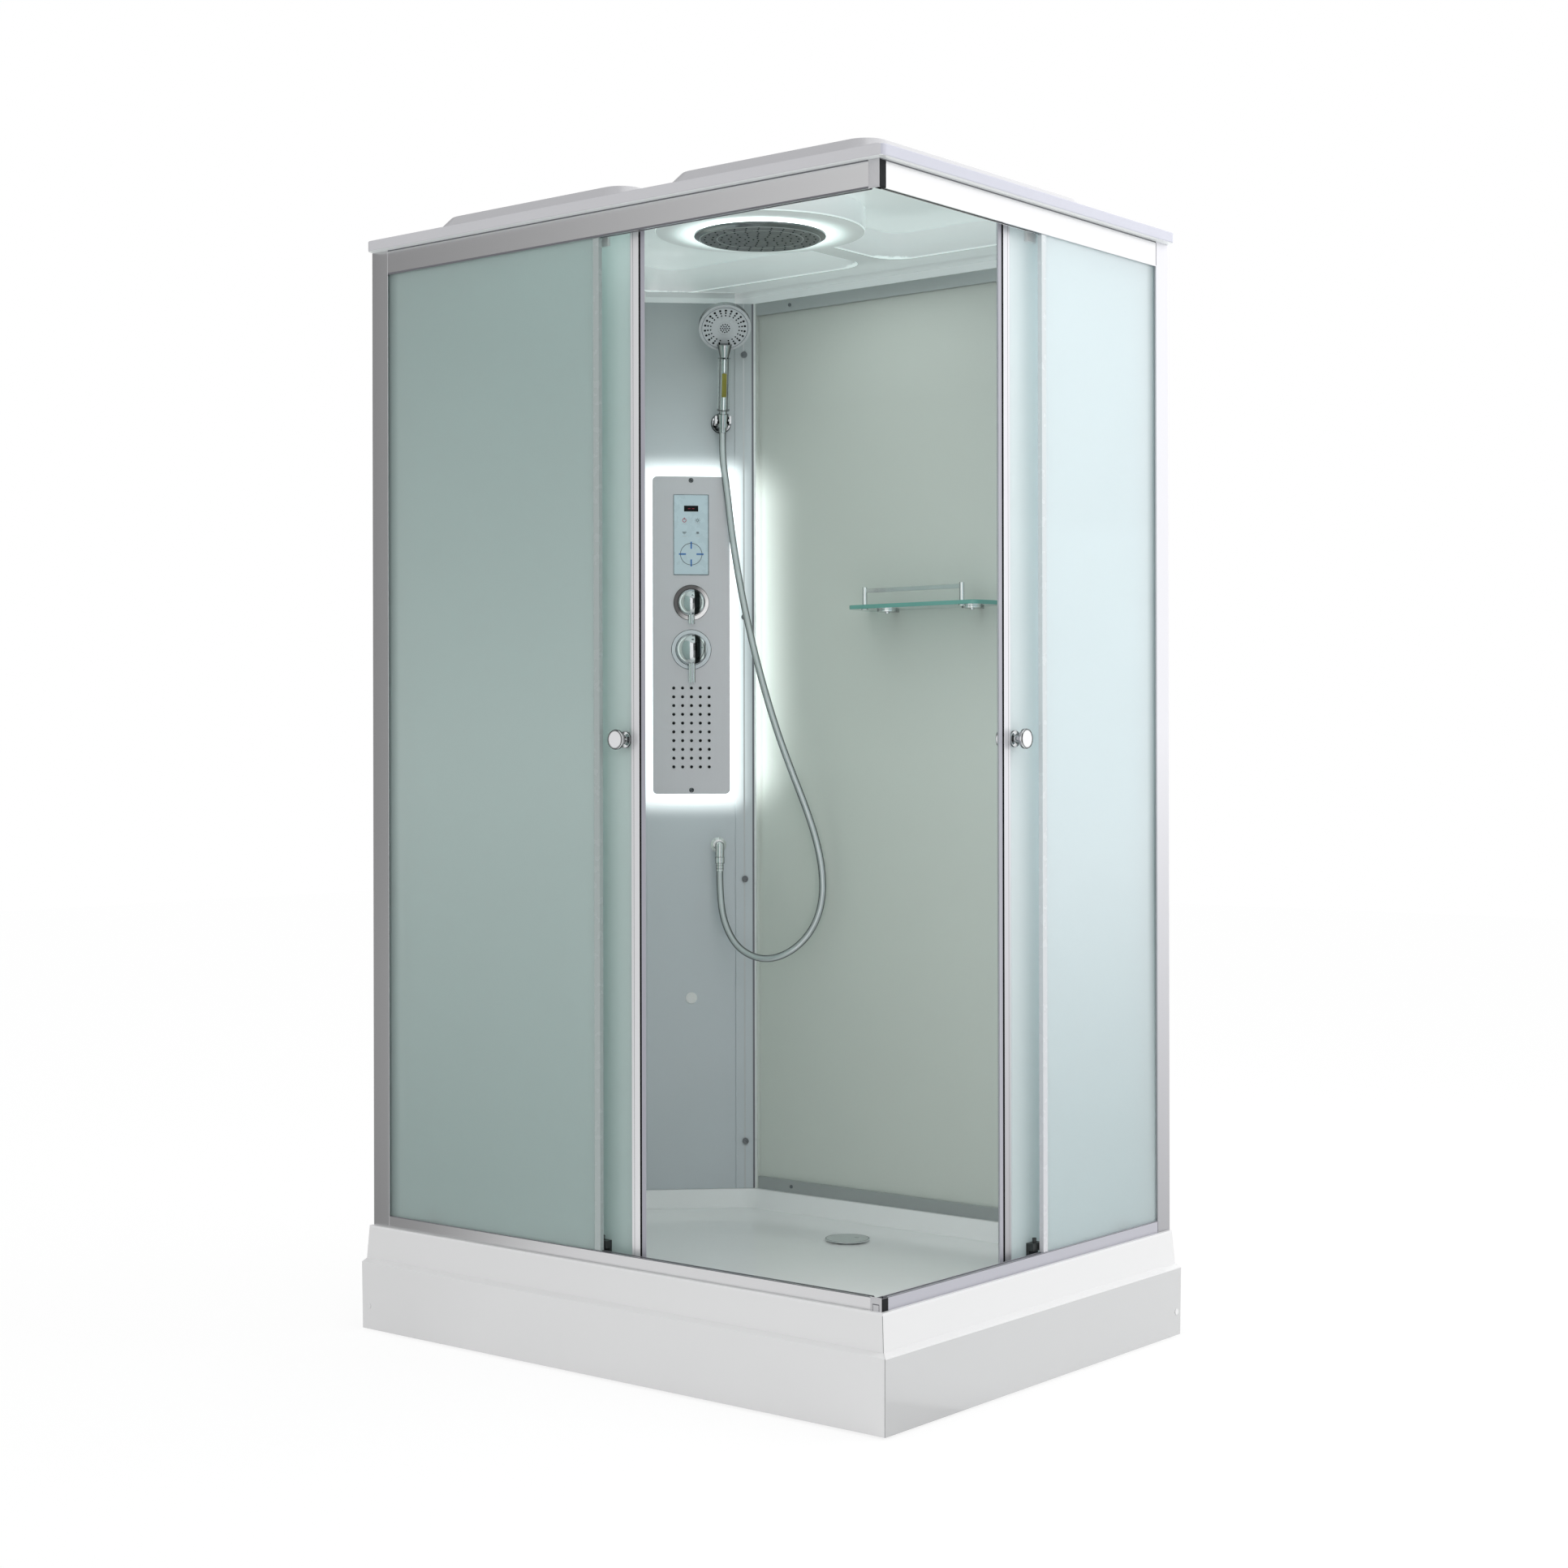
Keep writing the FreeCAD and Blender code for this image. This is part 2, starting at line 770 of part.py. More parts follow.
def column_posts():
    shell = prism(column_post_outline(), rim_z, header_top)
    hollow = block(column_half + sheet, (wall_y - column_y) * root2 - sheet * 2, sheet,
                   column_post_back - sheet, rim_z - overrun, header_top + overrun)
    post = shell.cut(hollow)
    twin = post.mirror(V(0, 0, 0), V(1, 0, 0))
    return [on_column(post), on_column(twin)]


def column_wall_start():
    """Where the back wall meets the column's post, as world X."""
    corners = column_post_outline()
    across, out = corners[2]
    return column_x + (across - out) / root2


def stem_holes(low, high, radius):
    """Drill tools for the two valve stems through the column's layers."""
    length = high - low
    return [rod(radius, length, V(0, -low, z), V(0, -1, 0)) for z in (mixer_z, diverter_z)]


def column_panel():
    panel = block(-column_half, column_half, 0, panel_thick, rim_z, header_top)
    holes = stem_holes(-panel_thick - overrun, overrun, stem_radius + jet_clear)
    return on_column(carved(panel, holes))


def plate_points(inset):
    half = plate_width / 2 - inset
    return rectangle(-half, half, plate_bottom + inset, plate_bottom + plate_height - inset)


def upright(points, radius, back, front):
    """A flat plate that stands on the column, between two distances out from it."""
    flat = rounded_prism(points, radius, 0, front - back)
    flat.rotate(V(0, 0, 0), V(1, 0, 0), 90)
    flat.translate(V(0, -back, 0))
    return flat


def jet_places():
    places = []
    for row in range(jet_rows):
        for column in range(jet_columns):
            across = (column - (jet_columns - 1) / 2) * jet_pitch_x
            places.append((across, jet_top - row * jet_pitch_z))
    return places


def control_plate():
    back = plate_standoff - plate_thick
    plate = upright(plate_points(0), plate_corner, back, plate_standoff)
    holes = stem_holes(back - overrun, plate_standoff + overrun, stem_radius + jet_clear)
    for across, z in jet_places():
        holes.append(rod(jet_radius + jet_clear, plate_thick + overrun * 2,
                         V(across, -back + overrun, z), V(0, -1, 0)))
    return on_column(plate.cut(Part.makeCompound(holes)))


def column_light():
    """Frame of light behind the control plate."""
    back = plate_standoff - plate_thick
    outer = upright(plate_points(light_inset), plate_corner, 0, back)
    inner = upright(plate_points(light_inset + light_wall), plate_corner, -overrun, back + overrun)
    return on_column(outer.cut(inner))


def back_jets():
    """Manifold between panel and plate, with its rubber nozzles."""
    back = plate_standoff - plate_thick
    half = (jet_columns - 1) / 2 * jet_pitch_x + manifold_margin
    low = jet_top - (jet_rows - 1) * jet_pitch_z - manifold_margin
    parts = [block(-half, half, -back, 0, low, jet_top + manifold_margin)]
    for across, z in jet_places():
        parts.append(rod(jet_radius, plate_thick + jet_proud, V(across, -back, z), V(0, -1, 0)))
    return on_column(parts[0].fuse(parts[1:]))


def touch_panel():
    half = touch_width / 2
    points = rectangle(-half, half, touch_bottom, touch_bottom + touch_height)
    return on_column(upright(points, touch_corner, plate_standoff, plate_standoff + touch_thick))


def water_valves():
    """Valve bodies, supply bar with its two inlets, riser, stems and escutcheons."""
    back = -panel_thick
    top = plate_standoff + escutcheon
    parts = []
    for z in (mixer_z, diverter_z):
        parts.append(rod(valve_body_radius, valve_body_length, V(0, -back, z), V(0, 1, 0)))
    middle = -back + valve_body_length / 2
    parts.append(rod(bar_radius, inlet_half_pitch * 2, V(-inlet_half_pitch, middle, mixer_z), V(1, 0, 0)))
    for side in (-1, 1):
        elbow = Part.makeSphere(bar_radius, V(side * inlet_half_pitch, middle, mixer_z))
        shoulder = rod(inlet_shoulder_radius, bar_radius + inlet_shoulder,
                       V(side * inlet_half_pitch, middle, mixer_z), V(0, 0, -1))
        stub = rod(inlet_radius, bar_radius + inlet_shoulder + inlet_length,
                   V(side * inlet_half_pitch, middle, mixer_z), V(0, 0, -1))
        parts.extend([elbow, shoulder, stub])
    parts.append(rod(bar_radius, diverter_z - mixer_z, V(0, middle, mixer_z)))
    riser_y = riser_back()
    link = riser_y - middle
    parts.append(rod(riser_radius, link, V(0, middle, diverter_z), V(0, 1, 0)))
    parts.append(Part.makeSphere(riser_radius, V(0, riser_y, diverter_z)))
    parts.append(rod(riser_radius, deck_top + roof_pipe_rise - diverter_z, V(0, riser_y, diverter_z)))
    stem_start = -back
    lengths = ((mixer_z, top + collar_length), (diverter_z, top + diverter_skirt))
    for z, reach in lengths:
        parts.append(rod(stem_radius, reach + stem_start, V(0, stem_start, z), V(0, -1, 0)))
    for z, radius in ((mixer_z, mixer_plate_radius), (diverter_z, diverter_plate_radius)):
        parts.append(rod(radius, escutcheon, V(0, -plate_standoff, z), V(0, -1, 0)))
    return on_column(joined(parts)).fuse(roof_pipe())


def riser_back():
    """How far the riser stands behind the front of the column panel."""
    return panel_thick + control_box_depth + bar_radius


def riser_place():
    """Where the riser comes up through the roof."""
    return column_x - riser_back() / root2, column_y + riser_back() / root2


def roof_pipe():
    """Pipe over the roof, between the two domes, from the riser to the overhead shower."""
    x, y = riser_place()
    z = deck_top + roof_pipe_rise
    stub_top = ceiling_z + rain_inlet_length
    parts = []
    for corner in ((x, y), (rain_x, y), (rain_x, rain_y)):
        parts.append(Part.makeSphere(riser_radius, V(corner[0], corner[1], z)))
    parts.append(rod(riser_radius, rain_x - x, V(x, y, z), V(1, 0, 0)))
    parts.append(rod(riser_radius, y - rain_y, V(rain_x, rain_y, z), V(0, 1, 0)))
    parts.append(rod(riser_radius, z - stub_top, V(rain_x, rain_y, stub_top)))
    parts.append(rod(roof_nut_radius, roof_nut, V(rain_x, rain_y, stub_top)))
    return joined(parts)


def mixer_axis_out():
    """How far out from the column the mixer lever's hinge pin is."""
    return plate_standoff + escutcheon + gap + collar_length + ear_height / 2


def mixer_collar():
    """Turning collar on the mixer stem, with the ear that carries the lever."""
    start = plate_standoff + escutcheon + gap
    reach = start + collar_length
    collar = turned([(stem_radius + running, 0), (collar_radius, 0), (collar_radius, collar_length),
                     (stem_radius + running, collar_length)], V(0, -start, mixer_z), V(0, -1, 0))
    bridge = rod(collar_radius, sheet, V(0, -reach, mixer_z), V(0, -1, 0))
    ear = block(-ear_width / 2, ear_width / 2, -reach - ear_height, -reach,
                mixer_z - ear_half, mixer_z + ear_half)
    bore = rod(hinge_pin_radius + running, ear_width + overrun * 2,
               V(-ear_width / 2 - overrun, -mixer_axis_out(), mixer_z), V(1, 0, 0))
    return on_column(joined([collar, bridge, ear]).cut(bore))


def mixer_handle():
    """Domed handle with its lever pointing down, hinged on the collar's ear."""
    start = plate_standoff + escutcheon + mixer_rim
    radius = mixer_dome_radius
    inner = radius - mixer_shell
    steps = 8
    outside = dome_profile(radius, mixer_skirt, mixer_dome_rise, steps)
    inside = dome_profile(inner, mixer_skirt, mixer_dome_rise - mixer_shell, steps)
    shell = turned([(radius, 0)] + outside + inside[::-1] + [(inner, 0)],
                   V(0, -start, mixer_z), V(0, -1, 0))
    pin = rod(hinge_pin_radius, inner * 2 + mixer_shell,
              V(-inner - mixer_shell / 2, -mixer_axis_out(), mixer_z), V(1, 0, 0))
    lever_out = start + mixer_skirt
    lever = rod(lever_radius, lever_length + mixer_shell,
                V(0, -lever_out, mixer_z - radius + mixer_shell), V(0, 0, -1))
    return on_column(joined([shell, pin, lever]))


def diverter_handle():
    start = plate_standoff + escutcheon + gap
    radius = diverter_dome_radius
    steps = 8
    bore = stem_radius + running
    bore_depth = diverter_skirt + gap
    profile = [(bore, 0), (radius, 0)] + dome_profile(radius, diverter_skirt, diverter_dome_rise, steps)
    profile += [(0, bore_depth), (bore, bore_depth)]
    dome = turned(profile, V(0, -start, diverter_z), V(0, -1, 0))
    lever = rod(lever_radius, diverter_lever + mixer_shell,
                V(0, -start - diverter_skirt, diverter_z - radius + mixer_shell), V(0, 0, -1))
    return on_column(dome.fuse(lever).removeSplitter())


def control_box():
    """Electronics box on the back of the column panel, with its cable inlet left open."""
    half = control_box_width / 2
    low = control_box_bottom
    high = low + control_box_height
    shell = block(-half, half, panel_thick, panel_thick + control_box_depth, low, high)
    wall = control_box_wall
    hollow = block(-half + wall, half - wall, panel_thick + wall,
                   panel_thick + control_box_depth - wall, low + wall, high - wall)
    inlet = rod(riser_radius, wall + overrun * 2,
                V(half / 2, panel_thick + control_box_depth / 2, low - overrun))
    return on_column(carved(shell, [hollow, inlet]))


def hose_outlet():
    """Rosette, elbow, nut and collar that the hose comes out of."""
    out = outlet_reach
    rosette = turned([(0, 0), (outlet_rosette_radius, 0), (outlet_tube_radius + sheet, outlet_rosette),
                      (0, outlet_rosette)], V(outlet_u, 0, outlet_z), V(0, -1, 0))
    neck = rod(outlet_tube_radius, out, V(outlet_u, 0, outlet_z), V(0, -1, 0))
    bend = Part.makeSphere(outlet_tube_radius, V(outlet_u, -out, outlet_z))
    hose_z = hose_route[-1][2]
    nut_z = hose_z + outlet_collar
    drop = rod(outlet_tube_radius, outlet_z - nut_z, V(outlet_u, -out, outlet_z), V(0, 0, -1))
    nut = rod(outlet_nut_radius, outlet_nut, V(outlet_u, -out, nut_z))
    collar = rod(outlet_collar_radius, outlet_collar, V(outlet_u, -out, hose_z))
    return on_column(joined([rosette, neck, bend, drop, nut, collar]))


def hose_points():
    """Hose route in the cabin's own axes, from the handset to the outlet."""
    tilt = math.radians(handset_tilt)
    route = []
    for reach in (tail_length, tail_length + hose_first_run):
        route.append((bracket_u, bracket_reach - reach * math.sin(tilt), bracket_z - reach * math.cos(tilt)))
    route.extend(hose_route)
    points = []
    for across, out, z in route:
        points.append(V(column_x + (across + out) / root2, column_y + (across - out) / root2, z))
    return points


def shower_hose():
    """Tube of straight runs joined by tangent arcs."""
    points = hose_points()
    edges = []
    start = points[0]
    for i in range(1, len(points) - 1):
        corner = points[i]
        back = points[i - 1] - corner
        ahead = points[i + 1] - corner
        shorter = min(back.Length, ahead.Length)
        turn = math.pi - back.getAngle(ahead)
        radius = arc_share * shorter / math.tan(turn / 2)
        reach = arc_share * shorter
        back.normalize()
        ahead.normalize()
        middle = (back + ahead).normalize()
        centre = corner + middle * (radius / math.cos(turn / 2))
        first = corner + back * reach
        last = corner + ahead * reach
        edges.append(Part.makeLine(start, first))
        edges.append(Part.Arc(first, centre - middle * radius, last).toShape())
        start = last
        print("hose run", round(shorter), "turn", round(math.degrees(turn), 1), "radius", round(radius))
    edges.append(Part.makeLine(start, points[-1]))
    path = Part.Wire(edges)
    circle = Part.Wire(Part.makeCircle(hose_diameter / 2, points[0], points[1] - points[0]))
    hose = path.makePipeShell([circle], True, False)
    section = math.pi * hose_diameter ** 2 / 4
    print("hose length", round(path.Length))
    print("hose volume against section times length", hose.Volume / section / path.Length)
    return hose


def handset_bracket():
    """Rosette, neck and fork that carry the handset's swivelling cup."""
    out = bracket_reach
    rosette = turned([(0, 0), (bracket_rosette_radius, 0), (bracket_rosette_radius - sheet, bracket_rosette),
                      (0, bracket_rosette)], V(bracket_u, 0, bracket_z), V(0, -1, 0))
    neck = rod(bracket_neck_radius, out - fork_back, V(bracket_u, 0, bracket_z), V(0, -1, 0))
    inner = cup_radius + gap + sheet / 2
    outer = inner + fork_wall
    low = bracket_z - fork_half_height
    high = bracket_z + fork_half_height
    bridge = block(bracket_u - outer, bracket_u + outer,
                   -out + fork_back - fork_wall, -out + fork_back, low, high)
    parts = [rosette, neck, bridge]
    for side in (-1, 1):
        near = bracket_u + side * inner
        far = bracket_u + side * outer
        parts.append(block(min(near, far), max(near, far), -out - fork_front, -out + fork_back, low, high))
    bore = rod(trunnion_radius + running, outer * 2 + overrun * 2,
               V(bracket_u - outer - overrun, -out, bracket_z), V(1, 0, 0))
    return on_column(joined(parts).cut(bore))


def at_swivel(shape):
    """Lean a shape made upright at the swivel and place it on the column."""
    shape = shape.copy()
    shape.rotate(V(0, 0, 0), V(1, 0, 0), handset_tilt)
    shape.translate(V(bracket_u, -bracket_reach, bracket_z))
    return on_column(shape)


def handset_holder():
    """Cup on two trunnions."""
    reach = cup_radius + gap + sheet / 2 + fork_wall
    cup = pipe(cup_radius, cup_radius - handle_end_radius, cup_half_length * 2, V(0, 0, -cup_half_length))
    pins = []
    for side in (-1, 1):
        start = side * (cup_radius - sheet / 2)
        pins.append(rod(trunnion_radius, reach - cup_radius + sheet / 2, V(start, 0, 0), V(side, 0, 0)))
    return at_swivel(joined([cup] + pins))


def handset():
    """Tail, clear-sleeved handle, flared neck, head and spray face."""
    tail = rod(handle_end_radius, tail_length + handle_start, V(0, 0, -tail_length))
    shaft = handle_core_radius + sheet
    sleeve = pipe(handle_radius, handle_radius - shaft, handle_sleeve, V(0, 0, handle_start))
    core = turned([(0, 0), (handle_end_radius, 0), (handle_radius, sheet), (shaft, sheet),
                   (shaft, handle_sleeve), (0, handle_sleeve)], V(0, 0, handle_start), UP)
    neck_start = handle_start + handle_sleeve
    neck = turned([(0, 0), (shaft, 0), (handle_radius + sheet, neck_length), (0, neck_length)],
                  V(0, 0, neck_start), UP)
    # the spray face looks out and down: its axis is given in the leaning frame
    turn = math.radians(head_tilt - handset_tilt)
    look = V(0, -math.cos(turn), -math.sin(turn))
    centre = V(0, 0, head_reach)
    back = centre - look * (head_thick + face_thick)
    rim = head_thick + sheet
    shell = turned([(0, 0), (head_radius / 2, 0), (head_radius, head_thick / 2), (head_radius, rim),
                    (face_radius, rim), (face_radius, head_thick), (0, head_thick)], back, look)
    face = rod(face_radius, face_thick, centre - look * face_thick, look)
    body = joined([tail, core, neck, shell])
    return [at_swivel(piece) for piece in (body, sleeve.cut(core), face.cut(body))]


def shelf_outline(z):
    front = -shelf_depth
    points = [(-shelf_back_half, 0), (-shelf_front_half, front),
              (shelf_front_half, front), (shelf_back_half, 0)]
    return outline(points, shelf_corner, z)


def on_shelf(shape):
    shape = shape.copy()
    shape.translate(V(shelf_x, back_y - (wall_depth + glass) / 2, 0))
    return shape


def shelf_glass():
    plate = Part.Face(shelf_outline(shelf_top - shelf_thick)).extrude(V(0, 0, shelf_thick))
    return on_shelf(plate)


def shelf_fittings():
    """Two wall arms with clamp discs, and the guard rail on its posts."""
    under = shelf_top - shelf_thick
    solids = []
    for side in (-1, 1):
        x = side * shelf_disc_half_pitch
        y = -shelf_disc_from_wall
        disc = rod(shelf_disc_radius, shelf_disc, V(x, y, under - shelf_disc))
        arm = block(x - shelf_arm_width / 2, x + shelf_arm_width / 2, y, 0, under - shelf_disc, under)
        screw = rod(shelf_screw_radius, shelf_screw, V(x, y, under - shelf_disc - shelf_screw))
        solids.append(on_shelf(joined([disc, arm, screw])))
    y = -shelf_depth + guard_from_front
    posts = []
    for side in (-1, 1):
        x = side * guard_half_pitch
        posts.append(rod(guard_post_radius, guard_height, V(x, y, shelf_top)))
        nut = rod(guard_post_radius + sheet, sheet, V(x, y, under - sheet))
        solids.append(on_shelf(nut))
    bar_top = shelf_top + guard_height - guard_bar_drop
    bar = block(-guard_half_pitch, guard_half_pitch, y - guard_bar_thick / 2, y + guard_bar_thick / 2,
                bar_top - guard_bar, bar_top)
    solids.append(on_shelf(joined(posts + [bar])))
    return solids


def basin_points(inset):
    """Corners of the basin at the rim, drawn in by the inset."""
    x0 = wall_x + wall_rim - wall_depth + inset
    x1 = side_x - front_rim - inset
    y0 = front_y + front_rim + inset
    y1 = wall_y - wall_rim + wall_depth - inset
    reach = (column_rim + inset) * root2
    diagonal = column_y - column_x - reach
    return [(x0, y0), (x1, y0), (x1, y1), (y1 - diagonal, y1), (x0, x0 + diagonal)]


def tray():
    """Acrylic shower tray: rim, skirt and a coved basin cut across by the column."""
    rim = block(left_x, side_x, front_y, back_y, rim_z - skin, rim_z)
    skirt = block(left_x, side_x, front_y, back_y, skirt_bottom, rim_z - skin).cut(
        block(left_x + skin, side_x - skin, front_y + skin, back_y - skin, skirt_bottom - overrun, rim_z))
    small = basin_corner - basin_slope
    body = rounded_loft(basin_points(basin_slope - skin), small + skin, tray_under,
                        basin_points(-skin), basin_corner + skin, rim_z)
    hollow = rounded_loft(basin_points(basin_slope), small, basin_z, basin_points(0), basin_corner, rim_z)
    floor_tool = Part.Face(outline(basin_points(0), basin_corner, rim_z)).extrude(V(0, 0, overrun))
    drain = rod(drain_hole_radius, skin + overrun * 2, V(drain_x, drain_y, tray_under - overrun))
    return carved(joined([rim, skirt, body]), [hollow, floor_tool, drain])


def drain_trap():
    """Bottle trap under the basin with its waste outlet to the back."""
    top = tray_under
    body = rod(trap_radius, top - trap_bottom, V(drain_x, drain_y, trap_bottom))
    flange = rod(trap_flange_radius, trap_flange, V(drain_x, drain_y, top - trap_flange))
    hollow = rod(trap_radius - trap_wall, top - trap_bottom - trap_wall - trap_flange,
                 V(drain_x, drain_y, trap_bottom + trap_wall))
    mouth = rod(drain_neck_radius + running, trap_flange + overrun * 2,
                V(drain_x, drain_y, top - trap_flange - overrun))
    reach = outlet_pipe_end - drain_y
    outlet = rod(outlet_pipe_radius, reach, V(drain_x, drain_y, outlet_pipe_z), V(0, 1, 0))
    socket = rod(outlet_socket_radius, outlet_socket, V(drain_x, drain_y, outlet_pipe_z), V(0, 1, 0))
    bore = rod(outlet_pipe_radius - outlet_pipe_wall, reach + overrun,
               V(drain_x, drain_y, outlet_pipe_z), V(0, 1, 0))
    return carved(joined([body, flange, socket, outlet]), [hollow, mouth, bore])


def drain_cover_piece():
    """Round cover on a windowed neck that drops into the drain."""
    disc_z = basin_z + drain_cover_rise
    disc = rod(drain_cover_radius, drain_cover, V(drain_x, drain_y, disc_z))
    neck_bottom = tray_under - trap_flange
    neck = pipe(drain_neck_radius, drain_neck_wall, disc_z - neck_bottom, V(drain_x, drain_y, neck_bottom))
    half = drain_window / 2
    reach = drain_neck_radius + overrun
    low = basin_z - half
    cross = [
        block(drain_x - reach, drain_x + reach, drain_y - half, drain_y + half, low, disc_z),
        block(drain_x - half, drain_x + half, drain_y - reach, drain_y + reach, low, disc_z),
    ]
    return joined([disc, carved(neck, cross)])


def frame_lines():
    """Middle lines of the steel frame under the tray."""
    xs = [left_x + frame_inset_x + share * (front_run - frame_inset_x * 2) for share in frame_bar_shares]
    y0 = front_y + frame_inset_front
    y1 = back_y - frame_inset_back
    return xs, [y0, (y0 + y1) / 2 - tube, y1]


def tray_frame():
    """Welded frame of square tube that the basin rests on."""
    xs, ys = frame_lines()
    low = tray_under - tube
    half = tube / 2
    inner = half - tube_wall
    solids = []
    for y in ys:
        bar = block(xs[0] - half, xs[-1] + half, y - half, y + half, low, tray_under)
        bore = block(xs[0] - half - overrun, xs[-1] + half + overrun, y - inner, y + inner,
                     low + tube_wall, tray_under - tube_wall)
        solids.append(bar.cut(bore))
    for y0, y1 in zip(ys[:-1], ys[1:]):
        for x in xs:
            bar = block(x - half, x + half, y0 + half, y1 - half, low, tray_under)
            bore = block(x - inner, x + inner, y0, y1, low + tube_wall, tray_under - tube_wall)
            solids.append(bar.cut(bore))
    return solids


def foot_places():
    xs, ys = frame_lines()
    return [(x, y) for y in (ys[0], ys[-1]) for x in (xs[0], xs[1], xs[3])]


def tray_feet():
    """Levelling feet: pad, threaded rod and lock nut under the frame."""
    solids = []
    top = tray_under - tube
    for x, y in foot_places():
        pad = rod(foot_pad_radius, foot_pad, V(x, y, 0))
        shaft = rod(foot_rod_radius, top - foot_pad, V(x, y, foot_pad))
        nut = rod(foot_nut_radius, foot_nut, V(x, y, top - foot_nut))
        solids.append(joined([pad, shaft, nut]))
    return solids


def roof_points(inset):
    return rectangle(left_x + inset, side_x + lip_out - inset, front_y - lip_out + inset, back_y - inset)


def room_points(inset):
    return rectangle(left_x + inset, side_x - inset, front_y + inset, back_y - inset)


def dome_points(side, inset):
    """Outline of one dome: side -1 is the left one, 1 the right one."""
    y0 = front_y + dome_front_inset + inset
    y1 = back_y - dome_back_inset - inset
    right_x = side_x + lip_out
    middle = (left_x + right_x) / 2
    near = middle + side * (dome_half_gap + inset)
    end = left_x + dome_left_inset + inset if side < 0 else right_x - dome_right_inset - inset
    return rectangle(min(near, end), max(near, end), y0, y1)


def roof_dome(side, inset, low, high):
    """One dome with sloping sides; the inset draws it in for the hollow."""
    corner = dome_corner - inset
    return rounded_loft(dome_points(side, inset), corner, low,
                        dome_points(side, inset + dome_slope), corner - dome_slope / 2, high)


def roof_shell():
    """Roof moulding in two solids: the rim, and over it the deck, two hollow domes and the round boss."""
    slab = rounded_prism(roof_points(0), lip_corner, header_top, lip_top)
    deck = rounded_loft(room_points(deck_inset), deck_corner, lip_top,
                        room_points(deck_inset + deck_slope), deck_corner, deck_top)
    boss_low = rod(boss_radius, dome_rise + overrun * 2, V(rain_x, rain_y, deck_top))
    boss_high = rod(boss_radius + roof_skin, dome_rise + overrun * 2, V(rain_x, rain_y, ceiling_z - overrun))
    top = deck_top + dome_rise
    outside = [slab, deck]
    for side in (-1, 1):
        outside.append(roof_dome(side, 0, deck_top, top).cut(boss_low))
    room = block(left_x + roof_rim, side_x - roof_rim, front_y + roof_rim, back_y - roof_rim,
                 header_top - overrun, lip_top - roof_skin)
    deck_hollow = rounded_loft(room_points(deck_inset + roof_skin), deck_corner, lip_top - roof_skin,
                               room_points(deck_inset + deck_slope + roof_skin), deck_corner, ceiling_z)
    shell = carved(joined(outside), [room, deck_hollow])
    for side in (-1, 1):
        hollow = roof_dome(side, roof_skin, ceiling_z - overrun, top - roof_skin).cut(boss_high)
        shell = shell.cut(hollow)
    holes = [rod(rain_inlet_radius + jet_clear, roof_skin * 3, V(rain_x, rain_y, ceiling_z - roof_skin))]
    x, y = riser_place()
    low = header_top - overrun
    holes.append(rod(riser_radius + jet_clear, deck_top + overrun - low, V(x, y, low)))
    shell = carved(shell, holes)
    reach = lip_out + overrun
    upper = block(left_x - overrun, side_x + reach, front_y - reach, back_y + overrun,
                  lip_top - roof_skin, top + overrun)
    return [shell.cut(upper), shell.common(upper)]


def rain_shower():
    """Chrome dish of the overhead shower with its inlet through the roof."""
    low = ceiling_z - rain_drop
    rim = rain_radius - rain_rim
    neck_top = ceiling_z - low
    profile = [
        (0, rain_face), (rim, rain_face), (rim, 0), (rain_radius, rain_dish), (rain_radius, rain_rim_height),
        (rain_neck_radius, rain_rim_height), (rain_neck_radius, neck_top), (0, neck_top),
    ]
    dish = turned(profile, V(rain_x, rain_y, low), UP)
    inlet = rod(rain_inlet_radius, rain_inlet_length, V(rain_x, rain_y, ceiling_z))
    return dish.fuse(inlet).removeSplitter()


def rain_shower_face():
    return rod(rain_radius - rain_rim, rain_face, V(rain_x, rain_y, ceiling_z - rain_drop))


def ring_light_piece():
    """Light ring between the dish and the ceiling."""
    low = ceiling_z - rain_drop + rain_rim_height
    return pipe(ring_light_radius, ring_light_radius - rain_neck_radius, ceiling_z - low,
                V(rain_x, rain_y, low))


def clip_heights():
    step = (clip_last_z - clip_first_z) / (clip_count - 1)
    return [clip_first_z + step * i for i in range(clip_count)]


def post_clips():
    """Dark caps on the posts where the panes are pinned, and on the column's right post."""
    solids = []
    for z in clip_heights():
        for run, place in ((front_run, on_front), (side_run, on_side)):
            at = V(-(run - post_width), stile_inset - sheet, z)
            solids.append(place(rod(clip_radius, clip_height, at, V(1, 0, 0))))
        for side in (-1, 1):
            across = side * (column_half + (wall_y - column_y) * root2) / 2
            at = V(across, -column_post_proud, z)
            solids.append(on_column(rod(clip_radius, clip_height, at, V(0, -1, 0))))
    return solids


def trim_screws():
    """Screws of the control plate, the wall rails and the apron panels."""
    solids = []
    for z in (plate_bottom + plate_screw_inset, plate_bottom + plate_height - plate_screw_inset):
        solids.append(on_column(rod(screw_radius, screw_head, V(0, -plate_standoff, z), V(0, -1, 0))))
    solids.append(on_column(rod(plug_radius, plug_thick, V(0, 0, plug_z), V(0, -1, 0))))
    for z in (rim_z + rail_height / 2, header_top - rail_height / 2):
        solids.append(rod(screw_radius, screw_head, V(rail_screw_x, wall_y, z), V(0, -1, 0)))
    slope = (apron_overhang - band_bottom_out) / (band_top_z - floor_gap)
    out = band_bottom_out + slope * (apron_screw_z + apron_screw_radius - floor_gap)
    for run, place in ((front_run, on_front), (side_run - apron_end_setback, on_side)):
        at = V(-(run - apron_screw_inset), -out, apron_screw_z)
        solids.append(place(rod(apron_screw_radius, apron_screw, at, V(0, -1, 0))))
    return solids


def save(name, solids):
    shape = Part.makeCompound(solids) if isinstance(solids, list) else solids
    shape.exportStep(os.path.join("parts", name + ".step"))


